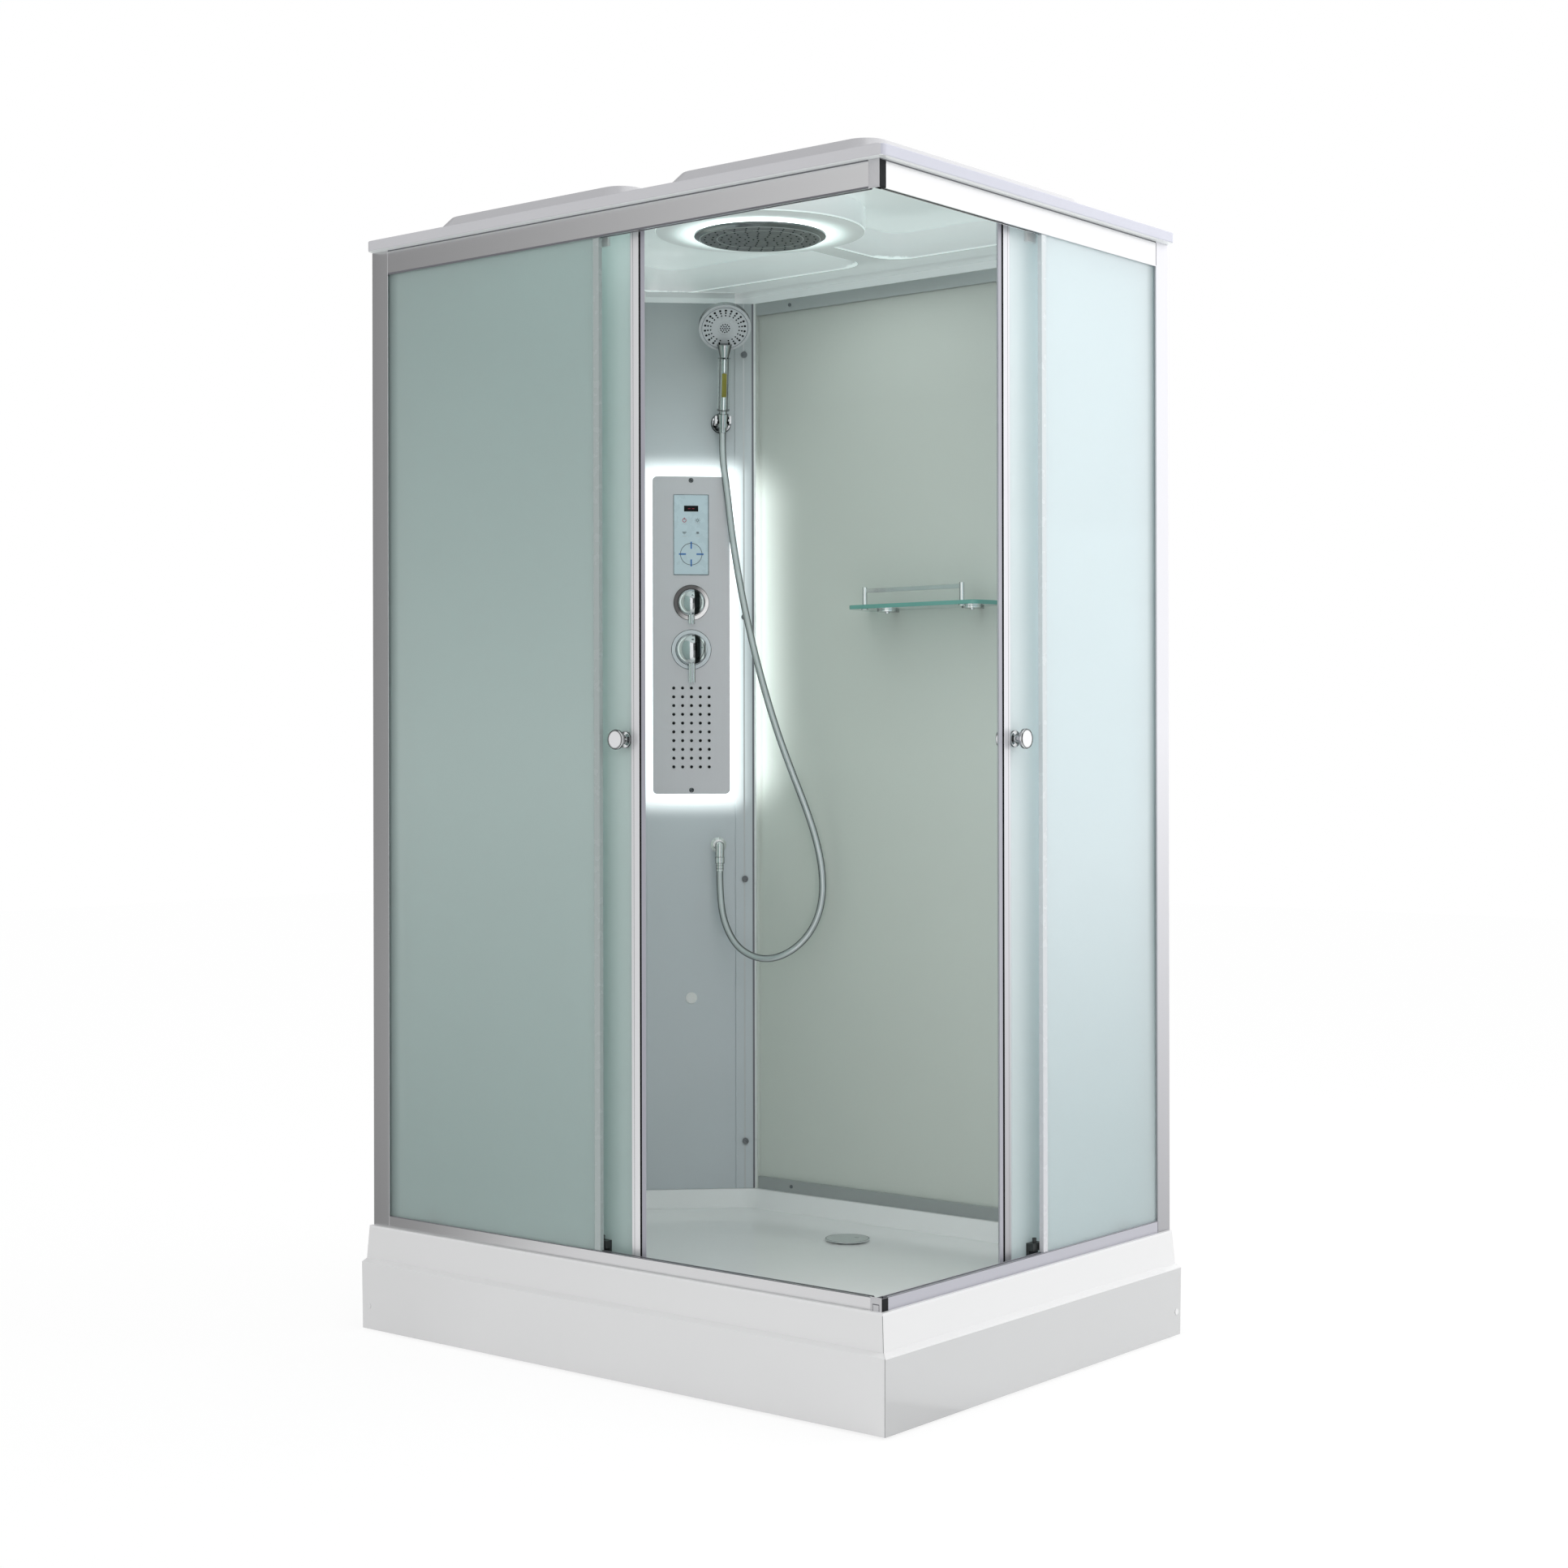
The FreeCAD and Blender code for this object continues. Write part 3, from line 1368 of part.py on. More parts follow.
def build():
    os.makedirs("parts", exist_ok=True)
    nodes = {
        "tray": tray(),
        "tray_frame": tray_frame(),
        "tray_feet": tray_feet(),
        "drain_trap": drain_trap(),
        "drain_cover": drain_cover_piece(),
        "apron_front": on_front(apron_panel(front_run + wall_setback)),
        "apron_side": on_side(apron_panel(side_run - apron_end_setback)),
        "sill_front": on_front(sill_section(track_depth, front_run - post_width)),
        "sill_side": on_side(sill_section(sheet, side_run - post_width)),
        "header_front": on_front(header_section(track_depth, front_run - post_width)),
        "header_side": on_side(header_section(sheet, side_run - post_width)),
        "corner_connectors": corner_caps(),
        "corner_posts": [on_front(corner_post(front_run)), on_side(corner_post(side_run))],
        "column_posts": column_posts(),
        "fixed_glass_front": on_front(fixed_pane(front_pane_start, front_run)),
        "fixed_glass_side": on_side(fixed_pane(side_pane_start, side_run)),
        "fixed_glass_seals": [on_front(pane_seal(front_pane_start)), on_side(pane_seal(side_pane_start))],
        "column_panel": column_panel(),
        "light_diffusers": [column_light(), ring_light_piece()],
        "control_plate": control_plate(),
        "touch_panel": touch_panel(),
        "back_jets": back_jets(),
        "water_valves": water_valves(),
        "control_box": control_box(),
        "mixer_collar": mixer_collar(),
        "mixer_handle": mixer_handle(),
        "diverter_handle": diverter_handle(),
        "hose_outlet": hose_outlet(),
        "shower_hose": shower_hose(),
        "handset_bracket": handset_bracket(),
        "handset_holder": handset_holder(),
        "handset": handset(),
        "shelf_glass": shelf_glass(),
        "shelf_fittings": shelf_fittings(),
        "roof_shell": roof_shell(),
        "rain_shower": rain_shower(),
        "rain_shower_face": rain_shower_face(),
        "screws_and_caps": post_clips() + trim_screws(),
    }
    post_x = side_x - post_depth
    post_y = front_y + post_depth
    back_start = column_wall_start()
    left_end = column_y - (back_start - column_x)
    rails = []
    for low in (rim_z, header_top - rail_height):
        rails.append(on_back(wall_rail(back_start, post_x, low)))
        rails.append(on_left(wall_rail(post_y, left_end, low)))
    nodes["wall_rails"] = rails
    nodes["wall_glass"] = [on_back(wall_pane(back_start, post_x)), on_left(wall_pane(post_y, left_end))]
    doors = (("front", on_front, front_door_rest, front_door_width),
             ("side", on_side, side_door_rest, side_door_width))
    for name, place, rest, width in doors:
        nodes[name + "_door_glass"] = place(door_pane(rest, width))
        nodes[name + "_door_stile"] = [place(piece) for piece in door_stile(rest, width)]
        nodes[name + "_door_knob"] = place(door_knob(rest))
        nodes[name + "_door_carriers"] = [place(piece) for piece in door_carriers(rest, width)]
        for end, a in zip(("lead", "tail"), roller_edges(rest, width)):
            nodes[name + "_top_roller_" + end] = place(wheel(a, top_axle_z))
            nodes[name + "_bottom_roller_" + end] = place(wheel(a, bottom_axle_z))
            nodes[name + "_release_button_" + end] = place(release_button(a))
    for name, solids in nodes.items():
        save(name, solids)
    print(len(nodes), "groups of pieces saved; door travel", round(front_travel, 2), round(side_travel, 2))


build()
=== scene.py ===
# %% [markdown]
# # A shower cabin, dressed over its construction model
# The construction model gives every piece its size and place. This lesson loads it as a fixed
# frame, and then gives each piece the surface that the real cabin shows: softened edges, brushed
# metal, frosted glass, gloss acrylic and chrome. Lengths are in metres if nothing else is said.

# %% The frame
import json
import math

import bpy
from mathutils import Matrix, Vector

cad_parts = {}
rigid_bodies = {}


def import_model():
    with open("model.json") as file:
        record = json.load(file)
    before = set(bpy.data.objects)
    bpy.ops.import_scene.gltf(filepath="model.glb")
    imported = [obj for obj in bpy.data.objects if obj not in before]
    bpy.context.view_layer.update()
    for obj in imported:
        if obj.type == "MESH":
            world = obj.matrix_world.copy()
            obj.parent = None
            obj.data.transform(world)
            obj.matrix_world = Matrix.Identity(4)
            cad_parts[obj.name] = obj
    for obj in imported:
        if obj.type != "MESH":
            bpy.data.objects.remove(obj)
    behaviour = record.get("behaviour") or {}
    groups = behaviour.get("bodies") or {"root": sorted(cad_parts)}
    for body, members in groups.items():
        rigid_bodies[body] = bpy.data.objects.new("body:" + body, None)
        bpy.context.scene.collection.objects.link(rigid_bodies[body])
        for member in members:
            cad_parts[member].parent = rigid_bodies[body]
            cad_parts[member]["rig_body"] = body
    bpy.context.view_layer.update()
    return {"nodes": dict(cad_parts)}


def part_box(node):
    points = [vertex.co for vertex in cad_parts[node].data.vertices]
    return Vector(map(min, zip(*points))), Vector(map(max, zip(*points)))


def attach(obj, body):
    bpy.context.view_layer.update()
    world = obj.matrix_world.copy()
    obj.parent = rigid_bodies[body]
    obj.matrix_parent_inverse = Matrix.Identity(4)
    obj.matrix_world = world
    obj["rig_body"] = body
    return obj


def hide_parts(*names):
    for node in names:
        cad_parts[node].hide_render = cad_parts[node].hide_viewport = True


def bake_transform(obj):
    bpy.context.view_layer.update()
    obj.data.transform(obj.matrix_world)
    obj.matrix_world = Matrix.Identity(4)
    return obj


for name in ("Cube", "Light", "Camera"):
    if name in bpy.data.objects:
        bpy.data.objects.remove(bpy.data.objects[name])
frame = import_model()
NODES = frame["nodes"]
scene = bpy.context.scene
scene.view_settings.view_transform = "Standard"

# %% [markdown]
# ## Camera
# The photograph was taken from the open corner, at about half height, with upright edges that
# stay upright. So the camera looks level, and a small lens shift frames the cabin instead of a
# tilt, which would make the uprights lean.

# %% Camera
lens_mm = 57.746
eye = (2.9174, -3.5445, 1.0547)
heading = math.radians(39.11)
roll = math.radians(0.11)
camera_data = bpy.data.cameras.new("camera")
camera_data.sensor_width = 36.0
camera_data.lens = lens_mm
camera_data.shift_y = -0.0186
camera_data.clip_end = 60.0
camera = bpy.data.objects.new("camera", camera_data)
camera.location = eye
camera.rotation_euler = (math.radians(90), roll, heading)
scene.collection.objects.link(camera)
scene.camera = camera
print("camera at", eye)

# %% [markdown]
# ## Light and floor
# A white studio lights the cabin softly and evenly. What mirrors and metals see is less even: the
# room is dark to the front and left, and bright to the right and behind, which is why the front
# frame looks grey and the side frame white. A narrow dark card opposite the door opening puts a
# dark line in the chrome. The camera and glass see a plain white background.

# %% Node helpers
def new_node(tree, kind, **values):
    """Add a node to a material's or the world's tree, and set its named values."""
    node = tree.nodes.new(kind)
    for key, value in values.items():
        setattr(node, key, value)
    return node


def feed(tree, sockets, values):
    """Give each socket its number, or link its signal to it."""
    for socket, value in zip(sockets, values):
        if isinstance(value, (int, float)):
            socket.default_value = value
        elif value is not None:
            tree.links.new(value, socket)


def ramp_between(tree, source, low, high, start=0.0, end=1.0, ease="LINEAR"):
    """Turn a signal that runs from start to end into a value between low and high."""
    node = new_node(tree, "ShaderNodeMapRange", interpolation_type=ease)
    feed(tree, node.inputs, (source, start, end, low, high))
    return node.outputs["Result"]


def math_node(tree, operation, first, second=None):
    """One arithmetic step on one or two signals or numbers."""
    node = new_node(tree, "ShaderNodeMath", operation=operation)
    feed(tree, node.inputs, (first, second))
    return node.outputs["Value"]


def mixed_value(tree, share, first, second):
    """Blend from first to second by share; each is a signal or a number."""
    node = new_node(tree, "ShaderNodeMix", data_type="FLOAT")
    feed(tree, (node.inputs[0], node.inputs[2], node.inputs[3]), (share, first, second))
    return node.outputs[0]


def mixed_shader(tree, share, first, second):
    """Blend from one shader to another by share."""
    node = new_node(tree, "ShaderNodeMixShader")
    feed(tree, node.inputs, (share, first, second))
    return node.outputs[0]


def dot_with(tree, vector, aim):
    """How far a vector signal reaches along an aim."""
    product = new_node(tree, "ShaderNodeVectorMath", operation="DOT_PRODUCT")
    product.inputs[1].default_value = aim
    tree.links.new(vector, product.inputs[0])
    return product.outputs["Value"]


def towards(tree, vector, aim):
    """How far a direction, seen from above, points towards an aim, from -1 to 1."""
    flat = new_node(tree, "ShaderNodeVectorMath", operation="MULTIPLY")
    flat.inputs[1].default_value = (1.0, 1.0, 0.0)
    tree.links.new(vector, flat.inputs[0])
    unit = new_node(tree, "ShaderNodeVectorMath", operation="NORMALIZE")
    tree.links.new(flat.outputs[0], unit.inputs[0])
    return dot_with(tree, unit.outputs[0], aim)


def mirrored_room(tree, vector):
    """Brightness that a mirror sees in each direction of the studio."""
    right = ramp_between(tree, towards(tree, vector, (0.743, -0.669, 0.0)), 0.17, 1.0, -0.10, 0.10)
    behind = ramp_between(tree, towards(tree, vector, (0.6, 0.8, 0.0)), 0.0, 1.5, -0.2, 0.5)
    card = ramp_between(tree, towards(tree, vector, (0.875, -0.485, 0.0)), 1.0, 0.02, 0.986, 0.991)
    return math_node(tree, "MULTIPLY", math_node(tree, "MAXIMUM", right, behind), card)


def ray_is(tree, *kinds):
    """1 for the named kinds of ray, 0 for the others."""
    paths = new_node(tree, "ShaderNodeLightPath")
    signal = paths.outputs["Is %s Ray" % kinds[0]]
    for kind in kinds[1:]:
        signal = math_node(tree, "MAXIMUM", signal, paths.outputs["Is %s Ray" % kind])
    return signal


# %% World
even_light = 0.80
world = bpy.data.worlds.new("studio")
scene.world = world
world.use_nodes = True
tree = world.node_tree
tree.nodes.clear()
direction = new_node(tree, "ShaderNodeTexCoord").outputs["Generated"]
lit = mixed_value(tree, ray_is(tree, "Glossy"), even_light, mirrored_room(tree, direction))
shown = mixed_value(tree, ray_is(tree, "Camera", "Transmission"), lit, 1.0)
background = new_node(tree, "ShaderNodeBackground")
background.inputs["Color"].default_value = (1.0, 1.0, 1.0, 1.0)
tree.links.new(shown, background.inputs["Strength"])
output = new_node(tree, "ShaderNodeOutputWorld")
tree.links.new(background.outputs["Background"], output.inputs["Surface"])
print("world level", even_light)


# %% Soft box
def soft_box(name, place, aim, width, power, tint=(1.0, 1.0, 1.0), shape="RECTANGLE", height=None):
    """A large area lamp that faces its aim; mirrors don't show it."""
    data = bpy.data.lights.new(name, "AREA")
    data.shape = shape
    data.size = width
    if shape == "RECTANGLE":
        data.size_y = height or width
    data.energy = power
    data.color = tint
    box = bpy.data.objects.new(name, data)
    box.location = place
    box.rotation_euler = (Vector(aim) - Vector(place)).to_track_quat("-Z", "Y").to_euler()
    box.visible_camera = False
    box.visible_glossy = False
    scene.collection.objects.link(box)
    print(name, power, "W")
    return box


soft_box("side_box", (2.5, 1.7, 2.9), (0.6, 0.1, 1.9), 2.4, 34.0)


# %% Floor
def clear_selection():
    """Leave edit mode and select nothing."""
    if bpy.context.mode != "OBJECT":
        bpy.ops.object.mode_set(mode="OBJECT")
    bpy.ops.object.select_all(action="DESELECT")


def focus(piece):
    """Select this piece alone and make it active."""
    clear_selection()
    piece.select_set(True)
    bpy.context.view_layer.objects.active = piece


def settle(piece):
    """Move a piece's place, turn and size into its mesh."""
    focus(piece)
    bpy.ops.object.transform_apply(location=True, rotation=True, scale=True)


def edit_all(piece, *steps):
    """Run mesh operators, each with its values, on all of a piece."""
    focus(piece)
    bpy.ops.object.mode_set(mode="EDIT")
    for operator, values in steps:
        bpy.ops.mesh.select_all(action="SELECT")
        operator(**values)
    bpy.ops.object.mode_set(mode="OBJECT")


clear_selection()
floor_glow = 0.80
bpy.ops.mesh.primitive_plane_add(size=24.0, location=(0, 0, 0))
floor = bpy.context.object
floor.name = "floor"
settle(floor)
floor_paint = bpy.data.materials.new("floor_paint")
floor_paint.use_nodes = True
tree = floor_paint.node_tree
tree.nodes.clear()
matte = new_node(tree, "ShaderNodeBsdfDiffuse")
matte.inputs["Color"].default_value = (0.86, 0.86, 0.86, 1.0)
glow = new_node(tree, "ShaderNodeEmission")
ground = new_node(tree, "ShaderNodeTexCoord").outputs["Object"]
tree.links.new(mixed_value(tree, ray_is(tree, "Glossy"), 1.07, mirrored_room(tree, ground)),
               glow.inputs["Strength"])
share = math_node(tree, "MULTIPLY", ray_is(tree, "Camera", "Transmission", "Glossy"), floor_glow)
output = new_node(tree, "ShaderNodeOutputMaterial")
tree.links.new(mixed_shader(tree, share, matte.outputs[0], glow.outputs[0]), output.inputs["Surface"])
floor.data.materials.append(floor_paint)
print("floor laid")


# %% [markdown]
# ## Finishes
# Each finish is a shader that reads Object coordinates, so a pattern stays on its piece. One
# helper builds the usual chain: noise, stretched by a grain, changes colour and roughness a
# little and lifts a fine bump. The finishes that need more, such as frosted glass, add to it.

# %% Finish helper
def grain_signal(tree, grain):
    """Noise on Object coordinates, finer or coarser along each axis by its grain."""
    mapping = new_node(tree, "ShaderNodeMapping")
    mapping.inputs["Scale"].default_value = grain
    tree.links.new(new_node(tree, "ShaderNodeTexCoord").outputs["Object"], mapping.inputs["Vector"])
    noise = new_node(tree, "ShaderNodeTexNoise")
    noise.inputs["Scale"].default_value = 1.0
    noise.inputs["Detail"].default_value = 3.0
    tree.links.new(mapping.outputs["Vector"], noise.inputs["Vector"])
    return noise.outputs["Fac"]


def finish(name, colour, roughness, grain=(30, 30, 30), tone=0.03, wear=0.04, lift=0.00003, **sockets):
    """A surface finish; more socket values are given by name, with _ for a space."""
    material = bpy.data.materials.new(name)
    material.use_nodes = True
    tree = material.node_tree
    shader = tree.nodes["Principled BSDF"]
    for key, value in sockets.items():
        shader.inputs[key.replace("_", " ")].default_value = value
    signal = grain_signal(tree, grain)
    shade = new_node(tree, "ShaderNodeMix", data_type="RGBA")
    shade.inputs["A"].default_value = tuple(c * (1 - tone) for c in colour) + (1.0,)
    shade.inputs["B"].default_value = tuple(min(1.0, c * (1 + tone)) for c in colour) + (1.0,)
    tree.links.new(signal, shade.inputs["Factor"])
    tree.links.new(shade.outputs["Result"], shader.inputs["Base Color"])
    rough = ramp_between(tree, signal, max(0.0, roughness - wear), roughness + wear, 0.3, 0.7)
    tree.links.new(rough, shader.inputs["Roughness"])
    bump = new_node(tree, "ShaderNodeBump")
    bump.inputs["Strength"].default_value = 0.6
    bump.inputs["Distance"].default_value = lift
    tree.links.new(signal, bump.inputs["Height"])
    tree.links.new(bump.outputs["Normal"], shader.inputs["Normal"])
    return material


# %% Metals and plastics
CLOUDY, SMOOTH, EVEN, FINE = ((n, n, n) for n in (4, 20, 30, 60))
BRUSHED = {"x": (3, 900, 900), "y": (900, 3, 900), "z": (900, 900, 3)}
ALUMINIUM = (0.69, 0.69, 0.70)
satin = {
    way: finish("satin_aluminium_" + way, ALUMINIUM, 0.26, BRUSHED[way], 0.004, 0.0, 0.0, Metallic=1.0)
    for way in "xyz"
}
# The side post, side stile and side sill get their own tones of the aluminium: painted light and shade for
# how the light falls on the side.
stile_satin, side_satin, side_sill_satin = (
    finish(name, colour, 0.3, BRUSHED[way], 0.004, 0.0, 0.0, Metallic=metal)
    for name, colour, way, metal in (("stile_satin", (0.88, 0.88, 0.90), "z", 0.35),
                                     ("side_satin", (0.76, 0.76, 0.80), "z", 0.25),
                                     ("side_sill_satin", (0.46, 0.46, 0.51), "y", 0.4))
)
lower_acrylic = finish("lower_acrylic", (0.69, 0.695, 0.70), 0.14, CLOUDY, 0.008, 0.03, 0.0)
escutcheon = finish("escutcheon_chrome", (0.62, 0.68, 0.71), 0.16, SMOOTH, 0.02, 0.02, 0.0, Metallic=0.35)
bright_line = finish("bright_line", (0.92, 0.92, 0.93), 0.2, SMOOTH, 0.005, 0.02, 0.0)
acrylic = finish("white_acrylic", (0.895, 0.895, 0.90), 0.14, CLOUDY, 0.008, 0.03, 0.0001)
chrome = finish("chrome", (0.68, 0.70, 0.71), 0.06, (38, 38, 24), 0.16, 0.02, 0.0, Metallic=1.0)
fitting_chrome = finish("fitting_chrome", (0.88, 0.90, 0.90), 0.08, (38, 38, 24), 0.06, 0.02, 0.0,
                        Metallic=0.75)
glass_edge = finish("glass_edge", (0.15, 0.36, 0.32), 0.1, SMOOTH, 0.05, 0.03, 0.0)
column_finish = finish("column_grey", (0.56, 0.60, 0.63), 0.2, (5, 5, 5), 0.02, 0.03, 0.00003)
plate_finish = finish("brushed_plate", (0.70, 0.705, 0.73), 0.38, BRUSHED["z"], 0.02, 0.01, 0.0,
                      Metallic=0.75)
foil = finish("control_foil", (0.56, 0.67, 0.73), 0.28, (50, 50, 50), 0.02, 0.03)
rubber = finish("nozzle_rubber", (0.012, 0.013, 0.014), 0.5, (200, 200, 200), 0.1, 0.05,
                Specular_IOR_Level=0.15)
seam = finish("dark_seam", (0.012, 0.013, 0.015), 0.5, FINE, 0.05, 0.05, Specular_IOR_Level=0.1)
line_light = finish("line_light", (0.42, 0.45, 0.445), 0.3, FINE, 0.02, 0.03)
line_grey = finish("line_grey", (0.16, 0.16, 0.18), 0.4, FINE, 0.05, 0.05)
magnet_grey = finish("magnet_grey", (0.46, 0.46, 0.52), 0.35, FINE, 0.03, 0.05)
rail_grey = finish("rail_grey", (0.43, 0.455, 0.455), 0.4, (3, 200, 200), 0.02, 0.03, 0.00001, Metallic=0.4)
strip_light = finish("strip_light", (0.78, 0.80, 0.80), 0.3, FINE, 0.02, 0.04)
lip_grey = finish("lip_grey", (0.70, 0.70, 0.73), 0.2, SMOOTH, 0.01, 0.03)
cap_light = finish("cap_light", (0.62, 0.62, 0.64), 0.5, (400, 400, 400), 0.06, 0.08, 0.00003)
dark = finish("dark_plastic", (0.035, 0.04, 0.04), 0.42, (120, 120, 120), 0.1, 0.06)
grey_plastic = finish("grey_plastic", (0.52, 0.53, 0.54), 0.4, (120, 120, 120), 0.04, 0.05)
wheel_finish = finish("wheel_plastic", (0.75, 0.76, 0.76), 0.4, (120, 120, 120), 0.04, 0.05)
steel = finish("galvanised_steel", (0.55, 0.57, 0.59), 0.42, (35, 35, 35), 0.12, 0.12, Metallic=1.0)
spray_grey = finish("spray_grey", (0.115, 0.125, 0.125), 0.33, (80, 80, 80), 0.05, 0.05)
hose_finish = finish("hose_silver", (0.76, 0.79, 0.80), 0.24, SMOOTH, 0.01, 0.01, 0.0, Metallic=0.5)
seal_finish = finish("clear_seal", (0.44, 0.50, 0.495), 0.25, FINE, 0.02, 0.05)
# The side seals are a lighter copy of the clear seal: painted light.
bright_seal = finish("bright_seal", (0.72, 0.78, 0.80), 0.25, FINE, 0.02, 0.05)
side_lip = finish("side_lip", (0.66, 0.67, 0.76), 0.2, SMOOTH, 0.01, 0.03, 0.0)
mitre_grey = finish("mitre_grey", (0.36, 0.36, 0.37), 0.4, FINE, 0.02, 0.03)
drain_satin = finish("drain_satin", (0.66, 0.69, 0.685), 0.3, EVEN, 0.02, 0.03, 0.0, Metallic=0.25)
disc_bright = finish("disc_bright", (0.93, 0.93, 0.95), 0.18, EVEN, 0.01, 0.02, 0.0, Metallic=0.1)
# The overhead shower's rim is a chrome darkened to show the dark studio it mirrors: a painted reflection.
rim_chrome = finish("rim_chrome", (0.20, 0.215, 0.215), 0.14, EVEN, 0.10, 0.03, 0.0, Metallic=0.9)
screw_grey = finish("screw_grey", (0.17, 0.18, 0.19), 0.3, (90, 90, 90), 0.08, 0.05, 0.0, Metallic=0.6)
plug_pale = finish("plug_pale", (0.95, 0.94, 0.93), 0.3, FINE, 0.02, 0.04)
spray_face = finish("spray_face", (0.50, 0.51, 0.53), 0.3, (80, 80, 80), 0.02, 0.04)
sleeve_clear = finish("clear_sleeve", (0.90, 0.93, 0.92), 0.03, (40, 40, 40), 0.01, 0.02, 0.0,
                      Transmission_Weight=0.9, IOR=1.12)
olive = finish("olive_strip", (0.22, 0.20, 0.02), 0.35, FINE, 0.05, 0.05)
red_ink = finish("red_ink", (0.50, 0.02, 0.06), 0.4, (90, 90, 90), 0.02, 0.04)
blue_ink = finish("blue_ink", (0.02, 0.16, 0.52), 0.35, (90, 90, 90), 0.02, 0.04)
grey_ink = finish("grey_ink", (0.10, 0.12, 0.14), 0.4, (90, 90, 90), 0.02, 0.04)
print("finishes:", len(bpy.data.materials))


# %% Blends over a finish
def paint_where(material, share, colour):
    """Blend a finish's colour towards another one by a signal from 0 to 1."""
    tree = material.node_tree
    shader = tree.nodes["Principled BSDF"]
    blend = new_node(tree, "ShaderNodeMix", data_type="RGBA")
    tree.links.new(share, blend.inputs["Factor"])
    tree.links.new(shader.inputs["Base Color"].links[0].from_socket, blend.inputs["A"])
    blend.inputs["B"].default_value = tuple(colour) + (1.0,)
    tree.links.new(blend.outputs["Result"], shader.inputs["Base Color"])


def turned_to(tree, aim):
    """How squarely a surface faces an aim, from -1 to 1."""
    return dot_with(tree, new_node(tree, "ShaderNodeTexCoord").outputs["Normal"], aim)


# Chrome, the fittings and the hose are painted dark where they turn away from the open corner: a painted
# reflection of the dark studio.
OPEN_CORNER = (0.63, -0.776, 0.0)
for metal, share, start, end, shade in ((chrome, 0.95, 0.40, 0.80, (0.03, 0.035, 0.035)),
                                        (fitting_chrome, 0.90, 0.38, 0.82, (0.04, 0.045, 0.045)),
                                        (hose_finish, 0.95, 0.50, 0.94, (0.05, 0.055, 0.055))):
    tree = metal.node_tree
    squarely = math_node(tree, "ABSOLUTE", turned_to(tree, OPEN_CORNER))
    paint_where(metal, ramp_between(tree, squarely, share, 0.0, start, end), shade)
print("metals edged")


# %% [markdown]
# ## Glass
# The panes are frosted: light passes, but a thing behind shows only as a soft dark blur when it
# is close. So one part of the shader is rough clear glass, and the larger part scatters light
# forwards and back, with a thin gloss on top.

# %% Frosted glass
def frosted(name, colour):
    """Frosted pane: a scattering skin mixed with rough clear glass."""
    through_share, clear_share = 0.42, 0.3
    material = finish(name, colour, 0.22, (6, 6, 6), 0.012, 0.03, 0.0)
    tree = material.node_tree
    skin = tree.nodes["Principled BSDF"]
    through = new_node(tree, "ShaderNodeBsdfTranslucent")
    through.inputs["Color"].default_value = tuple(colour) + (1.0,)
    scatter = mixed_shader(tree, through_share, skin.outputs[0], through.outputs[0])
    blur = new_node(tree, "ShaderNodeBsdfPrincipled")
    blur.inputs["Base Color"].default_value = tuple(colour) + (1.0,)
    for socket, value in (("Roughness", 0.34), ("Transmission Weight", 1.0), ("IOR", 1.45)):
        blur.inputs[socket].default_value = value
    tree.links.new(mixed_shader(tree, clear_share, scatter, blur.outputs[0]),
                   tree.nodes["Material Output"].inputs["Surface"])
    return material


front_glass = frosted("frosted_glass_front", (0.675, 0.785, 0.77))
side_glass = frosted("frosted_glass_side", (0.92, 0.975, 0.99))
wall_finish = finish("wall_glass", (0.655, 0.695, 0.65), 0.30, (3, 3, 3), 0.02, 0.02, 0.0)
shelf_finish = finish("clear_glass", (0.74, 0.86, 0.84), 0.06, (10, 10, 10), 0.01, 0.02, 0.0,
                      Transmission_Weight=0.85, IOR=1.3)
print("glass finishes made")


# %% [markdown]
# ## Light that glows behind the plate and under the roof
# A frame of diffuser behind the control plate and a ring above the overhead shower are real glowing
# solids; their glow on the column, wall and ceiling round them is painted light. Shade that the even
# studio leaves out is painted: the panes darken beside their posts, and walls and column upwards.

# %% Glow
def add_glow(material, signal, tint):
    """Let a signal or a number drive a finish's own light."""
    shader = material.node_tree.nodes["Principled BSDF"]
    shader.inputs["Emission Color"].default_value = tuple(tint) + (1.0,)
    feed(material.node_tree, (shader.inputs["Emission Strength"],), (signal,))


def glowing(name, colour, strength):
    """A finish that gives off light: a real diffuser, or a painted highlight."""
    material = finish(name, colour, 0.4)
    add_glow(material, strength, colour)
    return material


def near_band(tree, distance, start, end, strength):
    """Light that is strongest at start and fades to nothing at end."""
    return ramp_between(tree, distance, strength, 0.0, start, end, "SMOOTHERSTEP")


def along(tree, origin, aim):
    """The Object coordinate along an aim, measured from an origin."""
    offset = new_node(tree, "ShaderNodeVectorMath", operation="SUBTRACT")
    offset.inputs[1].default_value = origin
    tree.links.new(new_node(tree, "ShaderNodeTexCoord").outputs["Object"], offset.inputs[0])
    return dot_with(tree, offset.outputs[0], aim)


def outside(tree, signal, half):
    """How far a coordinate lies beyond plus or minus half, and 0 between them."""
    away = math_node(tree, "SUBTRACT", math_node(tree, "ABSOLUTE", signal), half)
    return math_node(tree, "MAXIMUM", away, 0.0)


def length_of(tree, first, second):
    """Length of a line from its two legs."""
    total = math_node(tree, "ADD", math_node(tree, "MULTIPLY", first, first),
                      math_node(tree, "MULTIPLY", second, second))
    return math_node(tree, "SQRT", total)


diffuser = glowing("light_diffuser", (0.90, 1.0, 0.98), 4.0)
print("diffuser glows")

